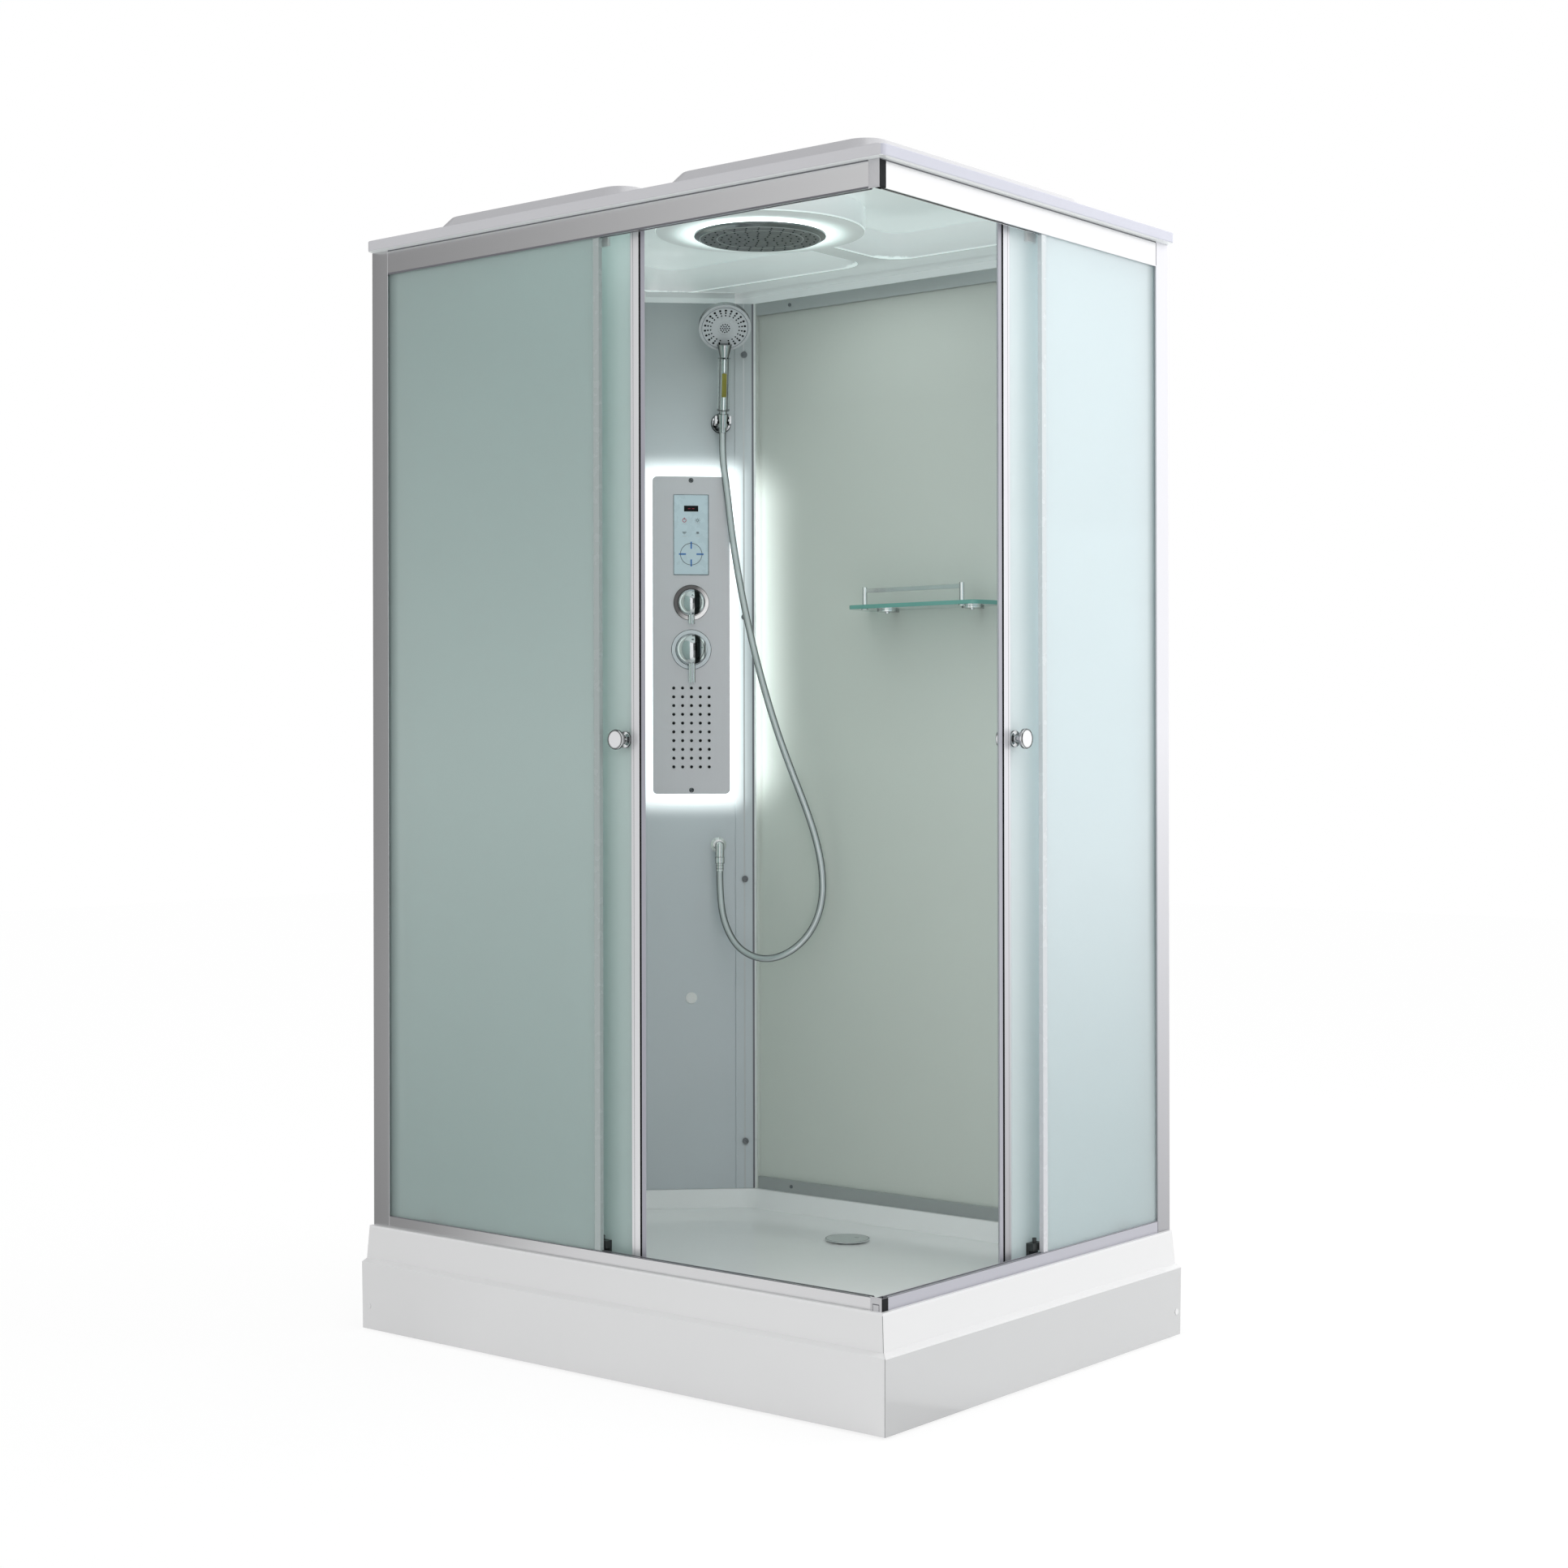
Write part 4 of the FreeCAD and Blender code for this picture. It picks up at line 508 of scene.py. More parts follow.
# %% Painted glow round the control plate
column_x, column_y = -0.4833, 0.3363
ACROSS = Vector((1, 1, 0)).normalized()
OUT = Vector((1, -1, 0)).normalized()
UP = Vector((0, 0, 1))
plate_middle = Vector((column_x, column_y, 1.2995))


def on_column(u, v, z):
    """A place on the column in millimetres, u across, v out into the cabin, in metres."""
    return Vector((column_x, column_y, z / 1000)) + ACROSS * (u / 1000) + OUT * (v / 1000)


def plate_distance(tree, half_height):
    """Distance from an upright box as wide as the control plate, round its middle."""
    half_width = 0.079
    return length_of(tree, outside(tree, along(tree, plate_middle, ACROSS), half_width),
                     outside(tree, along(tree, plate_middle, UP), half_height))


def indoors_only(tree, signal):
    """Keep a signal on the faces that look into the cabin."""
    return math_node(tree, "MULTIPLY", signal, math_node(tree, "GREATER_THAN", turned_to(tree, OUT), 0.1))


def by_height(tree, low, high, start, end):
    """A value that runs from low to high between two heights."""
    return ramp_between(tree, along(tree, (0, 0, 0), UP), low, high, start, end)


# The column and the wall glow round the plate: painted light, strongest at the plate's edge.
for material, half_height, start, end, strength, tint in (
    (column_finish, 0.3245, -0.010, 0.058, 0.95, (0.93, 1.0, 0.99)),
    (wall_finish, 0.26, 0.01, 0.155, 0.75, (0.93, 1.0, 0.96)),
):
    tree = material.node_tree
    halo = near_band(tree, plate_distance(tree, half_height), start, end, strength)
    add_glow(material, indoors_only(tree, halo), tint)
# The wall and the column darken towards the ceiling: painted shade.
for material, start, end, shade in ((wall_finish, 1.05, 1.75, (0.49, 0.515, 0.485)),
                                    (column_finish, 1.60, 1.85, (0.44, 0.47, 0.48))):
    paint_where(material, by_height(material.node_tree, 0.0, 1.0, start, end), shade)
# The front panes are painted lighter at mid-height: painted light.
tree = front_glass.node_tree
middle_height = math_node(tree, "ABSOLUTE", along(tree, (0, 0, 1.05), UP))
paint_where(front_glass, ramp_between(tree, middle_height, 0.75, 0.0, 0.05, 0.75), (0.90, 1.0, 0.98))
# The panes darken beside their posts: painted shade.
for glass, aim, start, end, shade in ((side_glass, (0, 1, 0), 0.382, 0.403, (0.20, 0.27, 0.27)),
                                      (front_glass, (-1, 0, 0), 0.530, 0.553, (0.30, 0.36, 0.36))):
    tree = glass.node_tree
    paint_where(glass, ramp_between(tree, along(tree, (0, 0, 0), aim), 0.0, 0.9, start, end), shade)
# The side panes glow more towards the top, a painted light, and are painted darker at the foot, a painted
# shade.
tree = side_glass.node_tree
add_glow(side_glass, by_height(tree, 0.0, 0.075, 0.35, 1.0), (0.75, 0.93, 1.0))
paint_where(side_glass, by_height(tree, 1.0, 0.0, 0.25, 0.85), (0.74, 0.84, 0.85))
# The side frame and the side seals darken towards the bottom: painted shade.
for metal, low in ((side_satin, 0.36), (bright_seal, 0.7)):
    paint_where(metal, by_height(metal.node_tree, 1.0, 0.0, 0.15, 1.10), (low, low, low * 1.05))
print("glow on", column_finish.name, "and", wall_finish.name)

# %% Painted reflections: a dark band on the chrome domes, and a dark crescent
dome_chrome = finish("dome_chrome", (0.82, 0.84, 0.86), 0.05, (38, 38, 24), 0.04, 0.02, 0.0, Metallic=0.85)
tree = dome_chrome.node_tree
sideways = along(tree, plate_middle, ACROSS)
band = math_node(tree, "MULTIPLY", ramp_between(tree, sideways, 0.0, 1.0, 0.0045, 0.0055),
                 ramp_between(tree, sideways, 1.0, 0.0, 0.015, 0.020))
edge = math_node(tree, "MULTIPLY", ramp_between(tree, sideways, 0.0, 0.8, 0.0235, 0.0245),
                 ramp_between(tree, sideways, 1.0, 0.0, 0.027, 0.0285))
paint_where(dome_chrome, math_node(tree, "MAXIMUM", band, edge), (0.012, 0.015, 0.015))
# The dark crescent on the chrome is a painted reflection.
crescent = finish("crescent_chrome", (0.80, 0.80, 0.80), 0.08, EVEN, 0.04, 0.02, 0.0, Metallic=0.9)
tree = crescent.node_tree
slant = math_node(tree, "SUBTRACT", along(tree, plate_middle + UP * 0.0665, ACROSS * 0.8),
                  along(tree, plate_middle + UP * 0.0665, UP * 0.6))
paint_where(crescent, ramp_between(tree, slant, 0.93, 0.0, -0.010, 0.026), (0.05, 0.05, 0.05))
print("dome chrome made")

# %% Roof: painted glow under it, and painted shade on its top side
roof_finish = finish("roof_acrylic", (0.89, 0.895, 0.90), 0.14, CLOUDY, 0.008, 0.03, 0.0001)
tree = roof_finish.node_tree
shower_y = -0.022
spread = length_of(tree, along(tree, (-0.010, 0, 0), (1, 0, 0)),
                   along(tree, (0, shower_y + 0.012, 0), (0, 1, 0)))
# Painted light: a glow on the ceiling round the overhead shower, and a glow on the underside that grows up
# into the hollows.
halo = near_band(tree, spread, 0.10, 0.185, 1.15)
height = along(tree, (0, 0, 0), UP)
facing = new_node(tree, "ShaderNodeSeparateXYZ")
tree.links.new(new_node(tree, "ShaderNodeTexCoord").outputs["Normal"], facing.inputs["Vector"])
underside = math_node(tree, "LESS_THAN", facing.outputs["Z"], 0.0)
indoors = math_node(tree, "MULTIPLY", underside, ramp_between(tree, height, 0.10, 0.20, 2.004, 2.046))
low_ceiling = math_node(tree, "LESS_THAN", height, 2.0062)
above = math_node(tree, "GREATER_THAN", height, 2.0075)
outer = math_node(tree, "GREATER_THAN", facing.outputs["Z"], 0.2)
add_glow(roof_finish, math_node(tree, "ADD", math_node(tree, "MULTIPLY", halo, low_ceiling), indoors),
         (0.82, 1.0, 0.97))
# The top side is painted greyer: painted shade.
paint_where(roof_finish, math_node(tree, "MULTIPLY", above, outer), (0.64, 0.64, 0.665))
ceiling_line = glowing("ceiling_line", (0.88, 1.0, 0.98), 0.40)
print("roof finish made")


# %% [markdown]
# ## Dressing the construction pieces
# A construction piece has knife-sharp edges, and its mesh is loose triangles. A copy is merged,
# its flat faces are joined, its edges get a small bevel that catches light, and it is shaded
# smooth up to an angle. The copy then stands for the construction piece.

# %% Dressing
def dress(node, material, edge=0.0006, steps=2, smooth=32, cuts=()):
    """A merged, softened copy of a construction piece, which then stands for it."""
    source = NODES[node]
    piece = bpy.data.objects.new(node + "_skin", source.data.copy())
    scene.collection.objects.link(piece)
    piece.data.materials.clear()
    piece.data.materials.append(material)
    edit_all(piece, (bpy.ops.mesh.remove_doubles, {"threshold": 0.00002}),
             (bpy.ops.mesh.dissolve_limited, {"angle_limit": math.radians(0.5)}))
    if edge:
        bevel = piece.modifiers.new("soft_edges", "BEVEL")
        bevel.width = edge
        bevel.segments = steps
        bevel.limit_method = "ANGLE"
        bevel.angle_limit = math.radians(38)
        bpy.ops.object.modifier_apply(modifier=bevel.name)
    edit_all(piece, *((bpy.ops.mesh.bisect, {"plane_co": place, "plane_no": across})
                      for place, across in cuts))
    bpy.ops.object.shade_smooth_by_angle(angle=math.radians(smooth))
    weigh = piece.modifiers.new("flat_faces", "WEIGHTED_NORMAL")
    weigh.keep_sharp = True
    bpy.ops.object.modifier_apply(modifier=weigh.name)
    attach(piece, source["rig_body"])
    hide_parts(node)
    return piece


def repaint(piece, material, test):
    """Give the faces whose centre and normal pass a test another finish."""
    piece.data.materials.append(material)
    index = len(piece.data.materials) - 1
    count = 0
    for face in piece.data.polygons:
        if test(face.center, face.normal):
            face.material_index = index
            count += 1
    print(piece.name, material.name, "on", count, "faces")


def slices(axis, *values):
    """Cutting planes across an axis of the frame."""
    aim = Vector((axis == "x", axis == "y", axis == "z"))
    return tuple((aim * value, aim) for value in values)


# %% Tray, aprons and roof
dress("tray", acrylic, 0.004, 3, 40)
front_face, side_face = -0.423, 0.573
apron_step, apron_top_line, lip_top = 0.1245, 0.186, 2.0005
mitre_x = side_face - 0.0014
mitre = ((Vector((mitre_x, front_face, 0)), Vector((1, 1, 0)).normalized()),)
# The top edge of each apron is painted lighter: a painted highlight.
for node in ("apron_front", "apron_side"):
    skin = dress(node, acrylic, 0.0008, 3, 40, slices("z", apron_step, apron_top_line) + mitre)
    if node == "apron_side":
        # The side apron's lower band is painted darker: painted shade.
        repaint(skin, lower_acrylic, lambda c, n: c.z < apron_step and n.x > 0.5)
    else:
        repaint(skin, mitre_grey, lambda c, n: c.x + c.y > mitre_x + front_face and n.y < -0.3)
    repaint(skin, bright_line, lambda c, n: c.z > apron_top_line and n.z < 0.9)
roof_skin = dress("roof_shell", roof_finish, 0.0025, 3, 40)
# The front of the roof's lip is painted darker and its side gets its own toned-down colour: painted shade
# for how the light falls on each.
repaint(roof_skin, lip_grey, lambda c, n: c.z < lip_top and n.y < -0.6 and c.y < -0.43)
repaint(roof_skin, side_lip, lambda c, n: c.z < lip_top and n.x > 0.6 and c.x > 0.58)
# The rims of the ceiling's hollows glow: painted highlights.
repaint(roof_skin, ceiling_line, lambda c, n: lip_top < c.z < 2.0075 and -0.93 < n.z < -0.25)
print("roof faces:", len(roof_skin.data.polygons))

# %% Frame profiles
corner_y = -0.4065
# Dark bands run along the top and bottom edges of the headers and sills: painted shade under the roof's lip,
# and dark joints where the profiles meet the glass and the tray.
for node, way, low, high in (("header_front", "x", 1.9395, 1.9785), ("header_side", "y", 1.9395, 1.9785),
                             ("sill_front", "x", 0.1680, 0.2096), ("sill_side", "y", 0.1680, 0.2096)):
    skin = dress(node, side_sill_satin if node == "sill_side" else satin[way],
                 cuts=slices("z", low, high) + slices("y", corner_y))
    if "side" in node:
        repaint(skin, seam, lambda c, n: c.y < corner_y and n.x > -0.5)
    outward = Vector((0, -1, 0)) if way == "x" else Vector((1, 0, 0))
    foot = -1.0 if node == "header_side" else low
    repaint(skin, line_grey, lambda c, n: (c.z < foot or c.z > high) and n.dot(outward) > 0.5)
posts = dress("corner_posts", satin["z"])
repaint(posts, side_satin, lambda c, n: c.x > 0.5)
dress("wall_rails", rail_grey)
connectors = dress("corner_connectors", cap_light)
repaint(connectors, seam, lambda c, n: n.x > 0.5)
print("frame dressed")

# %% Door profiles
for node, axis, near, sign in (("front_door_stile", "x", 0.0451, 1), ("side_door_stile", "y", -0.0473, -1)):
    pick = 0 if axis == "x" else 1
    line, groove = near + sign * 0.0025, near - sign * 0.0129
    skin = dress(node, stile_satin if axis == "x" else side_satin,
                 cuts=slices(axis, line, groove - 0.0004, groove + 0.0004))
    repaint(skin, seam, lambda c, n: sign * (line - c[pick]) > 0 and sign * (c[pick] - near) > -0.0003)
    repaint(skin, magnet_grey, lambda c, n: sign * (c[pick] - line) > 0)
    repaint(skin, line_grey, lambda c, n: abs(c[pick] - groove) < 0.0004)
    repaint(skin, seal_finish, lambda c, n: sign * (near - c[pick]) > 0.2)
seals = dress("fixed_glass_seals", seal_finish, 0.0)
repaint(seals, bright_seal, lambda c, n: c.x > 0.4)
edit_all(seals, (bpy.ops.transform.shrink_fatten, {"value": 0.00012}))
print("door profiles and seals dressed")

# %% Glass
for node in ("fixed_glass_front", "front_door_glass"):
    dress(node, front_glass, 0.0005)
for node in ("fixed_glass_side", "side_door_glass"):
    dress(node, side_glass, 0.0005)
dress("wall_glass", wall_finish, 0.0004)
shelf = dress("shelf_glass", shelf_finish, 0.0006, 2)
repaint(shelf, glass_edge, lambda c, n: abs(n.z) < 0.4)
print("glass dressed")


# %% Column
def across_column(place):
    """How far a place lies to the right of the column's middle."""
    return (place.x - column_x + place.y - column_y) / math.sqrt(2)


post_bands = ((0.108, 0.111, grey_plastic), (0.126, 0.130, line_grey), (0.130, 0.134, strip_light),
              (0.134, 1.0, wall_finish))
post_lines = sorted({line for band in post_bands for line in band[:2] if line < 1.0})
cuts = tuple((plate_middle + side * ACROSS * line, ACROSS) for line in post_lines for side in (-1, 1))
posts = dress("column_posts", column_finish, 0.0006, 1, 32, cuts)
for low, high, material in post_bands:
    repaint(posts, material, lambda c, n: low < abs(across_column(c)) < high)
dress("column_panel", column_finish)
dress("control_plate", plate_finish, 0.0006)
dress("light_diffusers", diffuser, 0.0)
dress("touch_panel", foil, 0.0008)
dress("control_box", acrylic, 0.0012)
dress("rain_shower_face", spray_grey, 0.0004)
caps = dress("screws_and_caps", screw_grey, 0.0002)
repaint(caps, plug_pale, lambda c, n: 0.54 < c.z < 0.575 and c.x < -0.4)
repaint(caps, acrylic, lambda c, n: c.z < 0.06)
jets = dress("back_jets", rubber, 0.0)
edit_all(jets, (bpy.ops.transform.shrink_fatten, {"value": 0.0007}))
print("column dressed")

# %% Service side and fittings
dress("drain_trap", dark)
dress("tray_frame", steel)
dress("tray_feet", steel)
special = {"rain_shower": rim_chrome, "drain_cover": drain_satin, "shelf_fittings": fitting_chrome,
           "hose_outlet": fitting_chrome, "mixer_handle": dome_chrome, "diverter_handle": dome_chrome}
for node in ("drain_cover", "water_valves", "mixer_collar", "mixer_handle", "diverter_handle", "hose_outlet",
             "handset_bracket", "handset_holder", "shelf_fittings", "rain_shower",
             "front_door_knob", "side_door_knob"):
    skin = dress(node, special.get(node, chrome), 0.0004)
    if node == "water_valves":
        plate_front = 0.0155
        # The escutcheons get their own chrome; above them the painted dark crescent reflection.
        for low, high, material in ((1.2, 1.32, escutcheon), (1.32, 1.42, crescent)):
            repaint(skin, material,
                    lambda c, n: low < c.z < high and (c - plate_middle).dot(OUT) > plate_front)
for node in NODES:
    if "carriers" in node:
        skin = dress(node, dark, 0.0004)
        repaint(skin, strip_light, lambda c, n: c.z > 1.0)
    elif "button" in node:
        dress(node, dark, 0.0004)
    elif "roller" in node:
        dress(node, wheel_finish, 0.0003)

# %% Handset
swivel = Vector((column_x, column_y, 1.735)) + ACROSS * 0.063 + OUT * 0.050
lean = math.radians(17.5)
handle_axis = OUT * math.sin(lean) + UP * math.cos(lean)
look_down = math.radians(39)
face_axis = OUT * math.cos(look_down) - UP * math.sin(look_down)
face_centre = swivel + handle_axis * 0.186
face_radius = 0.055
handset = dress("handset", chrome, 0.0004)
repaint(handset, spray_face, lambda c, n: -0.0032 < (c - face_centre).dot(face_axis) < 0.003
        and (c - face_centre).length < face_radius)
handle_low, handle_high, core_radius = 0.021, 0.125, 0.0095
repaint(handset, sleeve_clear, lambda c, n: handle_low < (c - swivel).dot(handle_axis) < handle_high
        and ((c - swivel) - handle_axis * (c - swivel).dot(handle_axis)).length > core_radius)

# %% [markdown]
# ## Small pieces
# What the construction model leaves plain is modelled here: the touch panel's display and symbols,
# the spray holes of the handset and of the overhead shower, screw heads and grooves. A small piece
# is modelled flat on the ground, facing up, and a matrix then seats it on its carrier. What repeats
# is modelled once, and copied.

# %% Modelling helpers
def named(name, material):
    """Name the new active piece, and give it a finish."""
    piece = bpy.context.object
    piece.name = name
    piece.data.materials.clear()
    piece.data.materials.append(material)
    settle(piece)
    return piece


def slab(name, width, height, thick, material, soften=0.0):
    """A flat plate, centred on the ground and facing up."""
    clear_selection()
    bpy.ops.mesh.primitive_cube_add(size=1.0, location=(0, 0, thick / 2))
    bpy.context.object.scale = (width, height, thick)
    piece = named(name, material)
    if soften:
        edit_all(piece, (bpy.ops.mesh.bevel, {"offset": soften, "segments": 2}))
    bpy.ops.object.shade_smooth_by_angle(angle=math.radians(32))
    return piece


def turned_piece(name, rings, material, sides):
    """A piece turned about the upright axis, from (radius, height) rings; both ends are closed."""
    clear_selection()
    radius, height = rings[0]
    bpy.ops.mesh.primitive_circle_add(vertices=sides, radius=radius, fill_type="NGON",
                                      location=(0, 0, height))
    piece = named(name, material)
    bpy.ops.object.mode_set(mode="EDIT")
    bpy.ops.mesh.select_all(action="SELECT")
    for (from_radius, from_height), (to_radius, to_height) in zip(rings, rings[1:]):
        bpy.ops.mesh.extrude_region_move(TRANSFORM_OT_translate={"value": (0, 0, to_height - from_height)})
        share = to_radius / from_radius
        bpy.ops.transform.resize(value=(share, share, 1.0), center_override=(0, 0, to_height))
    bpy.ops.object.mode_set(mode="OBJECT")
    edit_all(piece, (bpy.ops.mesh.normals_make_consistent, {"inside": False}))
    bpy.ops.object.shade_smooth_by_angle(angle=math.radians(35))
    return piece


def hoop(name, radius, thick, material, sides, facets=6):
    """A round wire ring that lies on the ground."""
    clear_selection()
    bpy.ops.mesh.primitive_torus_add(major_radius=radius, minor_radius=thick, major_segments=sides,
                                     minor_segments=facets)
    piece = named(name, material)
    bpy.ops.object.shade_smooth()
    return piece


def seat_at(place, facing, right):
    """Matrix that seats a flat piece: where it stands, which way it faces, which way its x runs."""
    facing, right = Vector(facing).normalized(), Vector(right).normalized()
    matrix = Matrix((right, facing.cross(right), facing)).transposed().to_4x4()
    matrix.translation = place
    return matrix


def spin_at(x, y, turn=0.0, size=1.0):
    """Matrix for a copy on the flat: shifted, turned by degrees and scaled."""
    return (Matrix.Translation((x, y, 0)) @ Matrix.Rotation(math.radians(turn), 4, "Z")
            @ Matrix.Scale(size, 4))


def around(turn, x, y, size=1.0):
    """Matrix for a copy that is shifted and scaled, then turned by a share of a full turn."""
    return Matrix.Rotation(math.tau * turn, 4, "Z") @ Matrix.Translation((x, y, 0)) @ Matrix.Scale(size, 4)


def scatter(seed, spots):
    """Copies of a seed at each matrix, joined into one piece; the seed goes."""
    clear_selection()
    for spot in spots:
        copy = bpy.data.objects.new(seed.name, seed.data.copy())
        scene.collection.objects.link(copy)
        copy.matrix_world = spot
        copy.select_set(True)
        bpy.context.view_layer.objects.active = copy
    bpy.ops.object.join()
    joined = bpy.context.view_layer.objects.active
    settle(joined)
    bpy.data.objects.remove(seed)
    return joined


def seat(pieces, matrix, body="cabin"):
    """Seat flat pieces together, and let them ride on a body."""
    for piece in pieces:
        piece.matrix_world = matrix
        settle(piece)
        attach(piece, body)
    print("seated", ", ".join(piece.name for piece in pieces))


def seat_on_column(pieces, u, z, v=19.0):
    """Seat flat pieces on the column, at a place in millimetres."""
    seat(pieces, seat_at(on_column(u, v, z), OUT, ACROSS))


MM = 0.001

# %% Touch panel
display = slab("display", 29 * MM, 12 * MM, 0.5 * MM, rubber, 0.15 * MM)
digits = scatter(slab("display_digits", 4.5 * MM, 1.0 * MM, 0.65 * MM, red_ink),
                 [spin_at(x * MM, 0) for x in (-4, 4)])
seat_on_column([display, digits], 0, 1558)
border = scatter(slab("panel_border", 1.0, 1.0, 1.0, grey_ink),
                 [Matrix.Translation((x * MM, y * MM, 0)) @ Matrix.Diagonal((w * MM, h * MM, 0.3 * MM, 1.0))
                  for x, y, w, h in ((0, 81.6, 72, 0.9), (0, -81.4, 72, 1.3),
                                     (-35.6, 0, 0.9, 164), (35.3, 0, 1.4, 164))])
seat_on_column([border], 0, 1504.5)
print("display and border")

# %% Symbols
def ray_marks(name, count, radius, length, width, material):
    """Short bars that point away from the middle."""
    seed = slab(name, width, length, 0.35 * MM, material)
    return scatter(seed, [around(k / count, 0, radius) for k in range(count)])


power = [hoop("power_ring", 3.6 * MM, 0.6 * MM, red_ink, 24),
         ray_marks("power_bar", 1, 3.6 * MM, 3.6 * MM, 1.2 * MM, red_ink)]
seat_on_column(power, -14, 1534)
lamp_symbol = [hoop("lamp_ring", 2.0 * MM, 0.5 * MM, grey_ink, 20),
               ray_marks("lamp_rays", 8, 4.1 * MM, 1.7 * MM, 0.8 * MM, grey_ink)]
seat_on_column(lamp_symbol, 13, 1534)
air_symbol = [scatter(slab("air_lines", 8.5 * MM, 1.0 * MM, 0.35 * MM, grey_ink),
                      [spin_at(0, y * MM, 0, s) for y, s in ((1.8, 1.0), (0, 0.75), (-1.8, 0.5))])]
seat_on_column(air_symbol, -14, 1508)
spray_symbol = [slab("spray_head", 5.5 * MM, 1.6 * MM, 0.35 * MM, grey_ink),
                scatter(slab("spray_drops", 0.9 * MM, 2.4 * MM, 0.35 * MM, grey_ink),
                        [spin_at(x * MM, -2.6 * MM, 6 * x) for x in (-2.4, 0, 2.4)])]
seat_on_column(spray_symbol, 13, 1509.5)
captions = [scatter(slab("caption_bars", 8 * MM, 0.7 * MM, 0.3 * MM, grey_plastic),
                    [spin_at(x * MM, y * MM) for x in (-13.5, 13.5) for y in (-13, 13)])]
seat_on_column(captions, 0, 1514.5)
dial = [hoop("dial_ring", 22 * MM, 0.55 * MM, grey_ink, 56),
        ray_marks("dial_bars", 4, 18 * MM, 14.5 * MM, 2.8 * MM, blue_ink)]
seat_on_column(dial, 0, 1465)

# %% Screws on the plate
def screw_head(name, radius, rise):
    """A domed screw head with its slot."""
    rings = [(radius, 0), (radius, rise * 0.4), (radius * 0.8, rise * 0.85), (radius * 0.4, rise)]
    head = turned_piece(name, rings, screw_grey, 20)
    return [head, slab(name + "_slot", radius * 1.5, radius * 0.28, rise * 1.06, seam)]


for z, slant in ((983, 0.5), (1616, -0.7)):
    head = screw_head("plate_screw", 5.0 * MM, 1.8 * MM)
    seat(head, seat_at(on_column(0, 16.0, z), OUT, ACROSS + UP * slant))

# %% Overhead shower
rings = ((12, 5), (27, 9), (42, 13), (57, 17), (71, 20), (87, 24), (101, 28))
spots = [around((k + 0.5 * (n % 2)) / count, radius * MM, 0)
         for n, (radius, count) in enumerate(rings) for k in range(count)]
nozzle_rings = [(1.7 * MM, -0.5 * MM), (1.7 * MM, 0.5 * MM), (1.2 * MM, 1.0 * MM)]
nozzles = scatter(turned_piece("rain_nozzles", nozzle_rings, rubber, 8), spots)
inner_line = hoop("rain_inner_line", 78.5 * MM, 0.9 * MM, line_light, 72)
spokes = scatter(slab("rain_spokes", 1.2 * MM, 29 * MM, 0.8 * MM, line_light),
                 [around(k / 4, x * MM, 93.5 * MM) for k in range(4) for x in (-3.5, 3.5)])
# A pale ring on the dark rim is a painted highlight.
rim_highlight = hoop("rain_rim_line", 109.5 * MM, 1.1 * MM, line_light, 80, 8)
seat([nozzles, inner_line, spokes, rim_highlight], seat_at(Vector((0, shower_y, 1.992)), -UP, (1, 0, 0)))

# %% Handset face
rays = 22
rows = [around(k / rays, 0, -radius * MM, size)
        for k in range(rays) for radius, size in ((29.0, 0.8), (34.6, 0.92), (40.4, 1.2))
        if k != 0 or radius > 38]
middle = [around(k / count, radius * MM, 0, 0.74)
          for radius, count in ((0, 1), (4.5, 6), (9, 12)) for k in range(count)]
hole_rings = [(2.0 * MM, -0.5 * MM), (2.0 * MM, 0.35 * MM), (1.4 * MM, 0.8 * MM)]
face_holes = scatter(turned_piece("handset_holes", hole_rings, seam, 10), rows + middle)
face_line = hoop("handset_face_line", 46.5 * MM, 0.5 * MM, grey_ink, 56)
centre_line = hoop("handset_centre_line", 14.5 * MM, 0.4 * MM, grey_plastic, 40)
seat([face_holes, face_line, centre_line], seat_at(face_centre, face_axis, ACROSS), "handset")
strip_facing = OUT * math.cos(lean) - UP * math.sin(lean)
strip = slab("handset_strip", 9.5 * MM, 48 * MM, 0.9 * MM, olive, 0.3 * MM)
seat([strip], seat_at(swivel + handle_axis * 0.073 + strip_facing * 0.0128, strip_facing, ACROSS), "handset")

# %% Corner caps
sill_band, header_band = (0.167, 0.209), (1.938, 1.979)
for (low, high), width in ((sill_band, 22), (header_band, 20)):
    layers = [slab("corner_cap", width * MM, high - low, 0.5 * MM, cap_light, 0.2 * MM)]
    if low < 1:
        layers.append(slab("corner_cap_frame", width * 0.6 * MM, (high - low) * 0.62, 0.6 * MM, line_grey))
        layers.append(slab("corner_cap_centre", width * 0.5 * MM, (high - low) * 0.54, 0.7 * MM, cap_light))
    seat(layers, seat_at((side_face - width * MM / 2, front_face, (low + high) / 2), (0, -1, 0), (1, 0, 0)))
    gap = slab("corner_slot", 15.5 * MM, high - low, 0.5 * MM, seam)
    seat([gap], seat_at((side_face, -0.4145, (low + high) / 2), (1, 0, 0), (0, 1, 0)))

# %% Rims of the escutcheons, and the cove over the column
for z, inner, outer in ((1270, 32.2, 40.5), (1366, 28.2, 36.0)):
    rims = [hoop("escutcheon_line", radius * MM, 0.4 * MM, seam, 64) for radius in (inner, outer)]
    seat_on_column(rims, 0, z, 18.5)
cove = slab("roof_cove", 184 * MM, 22 * MM, 1.5 * MM, roof_finish, 0.4 * MM)
seat_on_column([cove], 0, 1992, 0.2)

# %% Nut and collar lines of the hose outlet
for z, radius in ((823, 7.5), (829, 7.5), (834.3, 9.4), (846.7, 9.4)):
    nut_line = hoop("outlet_line", radius * MM, 0.35 * MM, seam, 32)
    seat([nut_line], Matrix.Translation(on_column(56, 36.0, z)))

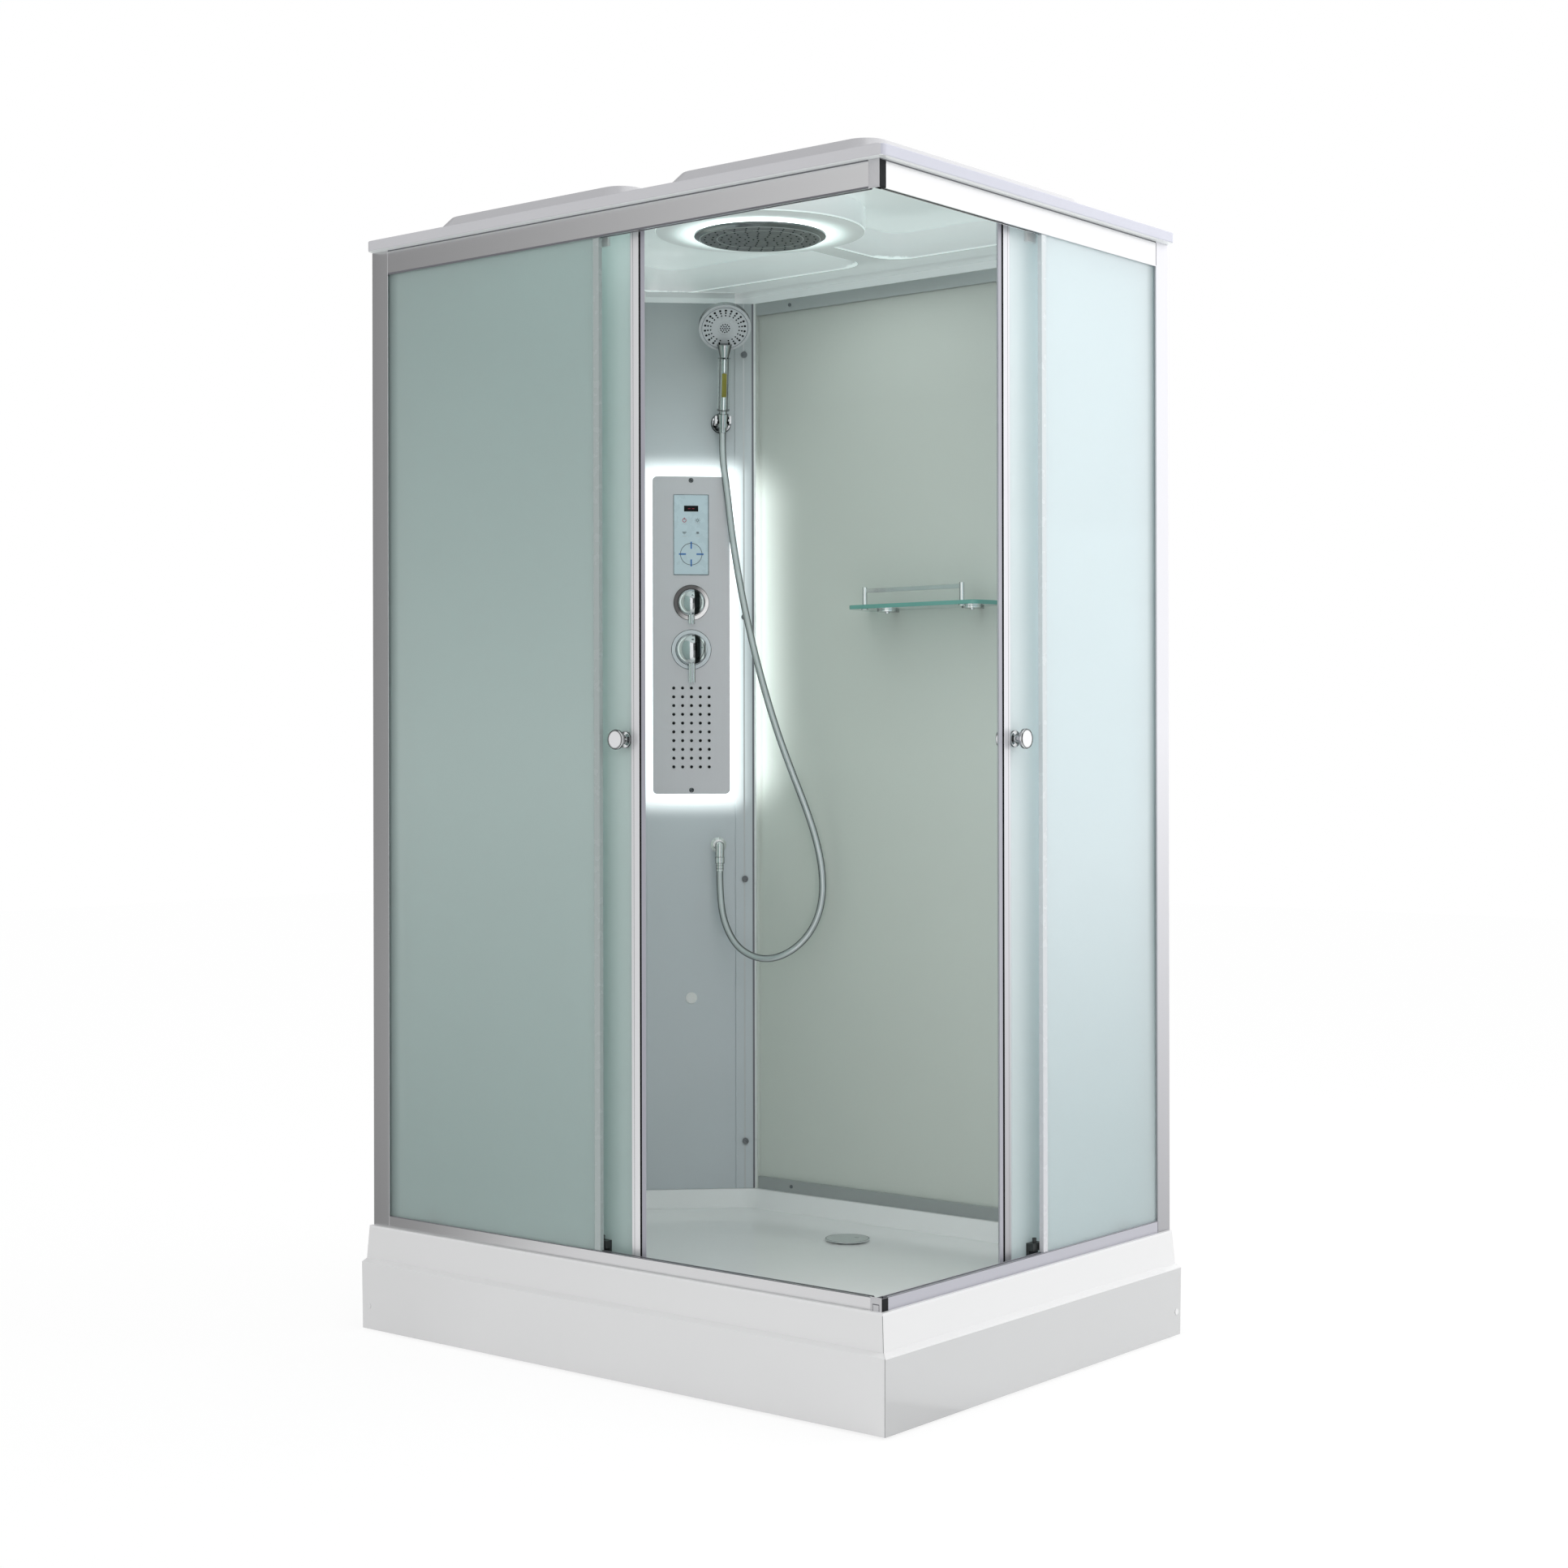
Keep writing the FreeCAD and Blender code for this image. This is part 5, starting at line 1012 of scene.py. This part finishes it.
# %% Fine seams
for low, high in (sill_band, header_band):
    seam_line = slab("post_seam", 0.9 * MM, high - low, 0.3 * MM, line_grey)
    seat([seam_line], seat_at((side_face, 0.4078, (low + high) / 2), (1, 0, 0), (0, 1, 0)))
low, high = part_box("drain_cover")
drain_ring = hoop("drain_ring", (high[0] - low[0]) / 2 - 0.9 * MM, 0.8 * MM, seam, 64)
drain_top = ((low[0] + high[0]) / 2, (low[1] + high[1]) / 2, high[2] - 0.6 * MM)
seat([drain_ring], seat_at(drain_top, UP, (1, 0, 0)), NODES["drain_cover"]["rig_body"])

# %% Door knobs
for node, facing, right in (("front_door_knob", (0, -1, 0), (1, 0, 0)),
                            ("side_door_knob", (1, 0, 0), (0, 1, 0))):
    low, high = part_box(node)
    middle = (Vector(low) + Vector(high)) / 2
    if facing[1]:
        middle.y = low[1]
    else:
        middle.x = high[0]
    radius = (high[2] - low[2]) / 2
    disc_rings = [(radius * 0.8, -0.4 * MM), (radius * 0.8, 0.05 * MM)]
    disc = turned_piece(node + "_disc", disc_rings, disc_bright, 40)
    groove = hoop(node + "_groove", radius * 0.93, 0.6 * MM, seam, 40)
    seat([disc, groove], seat_at(middle, facing, right), NODES[node]["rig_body"])
print("small pieces made")

# %% [markdown]
# ## The hose
# The hose hangs from the handset's tail in one long loop to the outlet low on the column. It is
# a spline that listed points control, with a round bevel that becomes a mesh tube.

# %% Hose
hose_radius = 0.007
hose_places = (
    (63, 42.78, 1712.11), (63, 27.75, 1664.43), (72, 34, 1598), (80, 42, 1516), (91, 53, 1434),
    (106, 65, 1348), (124, 78, 1262), (145, 92, 1178), (168, 106, 1098), (194, 120, 1023),
    (220, 132, 954), (241, 141, 889), (254, 145, 824), (254, 146, 760), (234, 142, 702),
    (192, 131, 658), (140, 112, 640), (91, 87, 660), (64, 60, 708), (56, 36, 766), (56, 36, 818),
)


def smooth_line(name, points):
    """A smooth curve that these points control."""
    curve = bpy.data.curves.new(name, "CURVE")
    curve.dimensions = "3D"
    spline = curve.splines.new("NURBS")
    spline.points.add(len(points) - 1)
    for knot, place in zip(spline.points, points):
        knot.co = (*place, 1.0)
    spline.order_u = 3
    spline.use_endpoint_u = True
    curve.resolution_u = 10
    curve.bevel_resolution = 8
    curve.use_fill_caps = True
    return curve


hose_curve = smooth_line("hose_line", [on_column(*place) for place in hose_places])
line_object = bpy.data.objects.new("hose_line", hose_curve)
line_mesh = bpy.data.meshes.new_from_object(line_object)
hose_path = [vertex.co.copy() for vertex in line_mesh.vertices]
hose_curve.bevel_depth = hose_radius
tube_mesh = bpy.data.meshes.new_from_object(line_object)
bpy.data.objects.remove(line_object)
hose = bpy.data.objects.new("shower_hose_tube", tube_mesh)
scene.collection.objects.link(hose)
hose.data.materials.append(hose_finish)
edit_all(hose, (bpy.ops.mesh.remove_doubles, {"threshold": 0.00001}),
         (bpy.ops.mesh.normals_make_consistent, {"inside": False}))
bpy.ops.object.shade_smooth_by_angle(angle=math.radians(50))
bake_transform(hose)
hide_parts("shower_hose")
run = sum((b - a).length for a, b in zip(hose_path, hose_path[1:]))
print("hose line", round(run, 3), "m over", len(hose_path), "points")

# %% [markdown]
# ## Lamp inside
# The ring above the overhead shower is the cabin's own lamp. A round area lamp just under the
# ceiling carries its light down to the tray and walls without grain. A second, tall and faint lamp
# stands for the studio's light that comes in at the open corner. It lights the inner pieces
# alone, so it leaves no patch on a shut door. Only the tray, the handset and the column with its
# plate and valves stop these two lamps: the real light is too spread out for the shelf's shadow.

# %% Lamp
ceiling_lamp = soft_box("ceiling_lamp", (0.0, shower_y, 1.975), (0.0, shower_y, 0.0), 0.75, 2.0,
                        (0.92, 1.0, 0.98), "DISK")
opening_box = soft_box("opening_box", (0.42, -0.28, 1.05), (-0.3, 0.25, 0.95), 0.4, 1.7,
                       (0.96, 1.0, 0.99), height=1.6)
inner_pieces = bpy.data.collections.new("inner_pieces")
for node in ("column_panel", "column_posts", "control_plate", "touch_panel", "wall_glass", "wall_rails",
             "tray", "shelf_glass", "shelf_fittings", "handset", "handset_bracket", "hose_outlet",
             "water_valves"):
    inner_pieces.objects.link(bpy.data.objects[node + "_skin"])
opening_box.light_linking.receiver_collection = inner_pieces
shading_pieces = bpy.data.collections.new("shading_pieces")
for node in ("column_panel", "column_posts", "control_plate", "tray", "water_valves", "handset"):
    shading_pieces.objects.link(bpy.data.objects[node + "_skin"])
for lamp in (opening_box, ceiling_lamp):
    lamp.light_linking.blocker_collection = shading_pieces
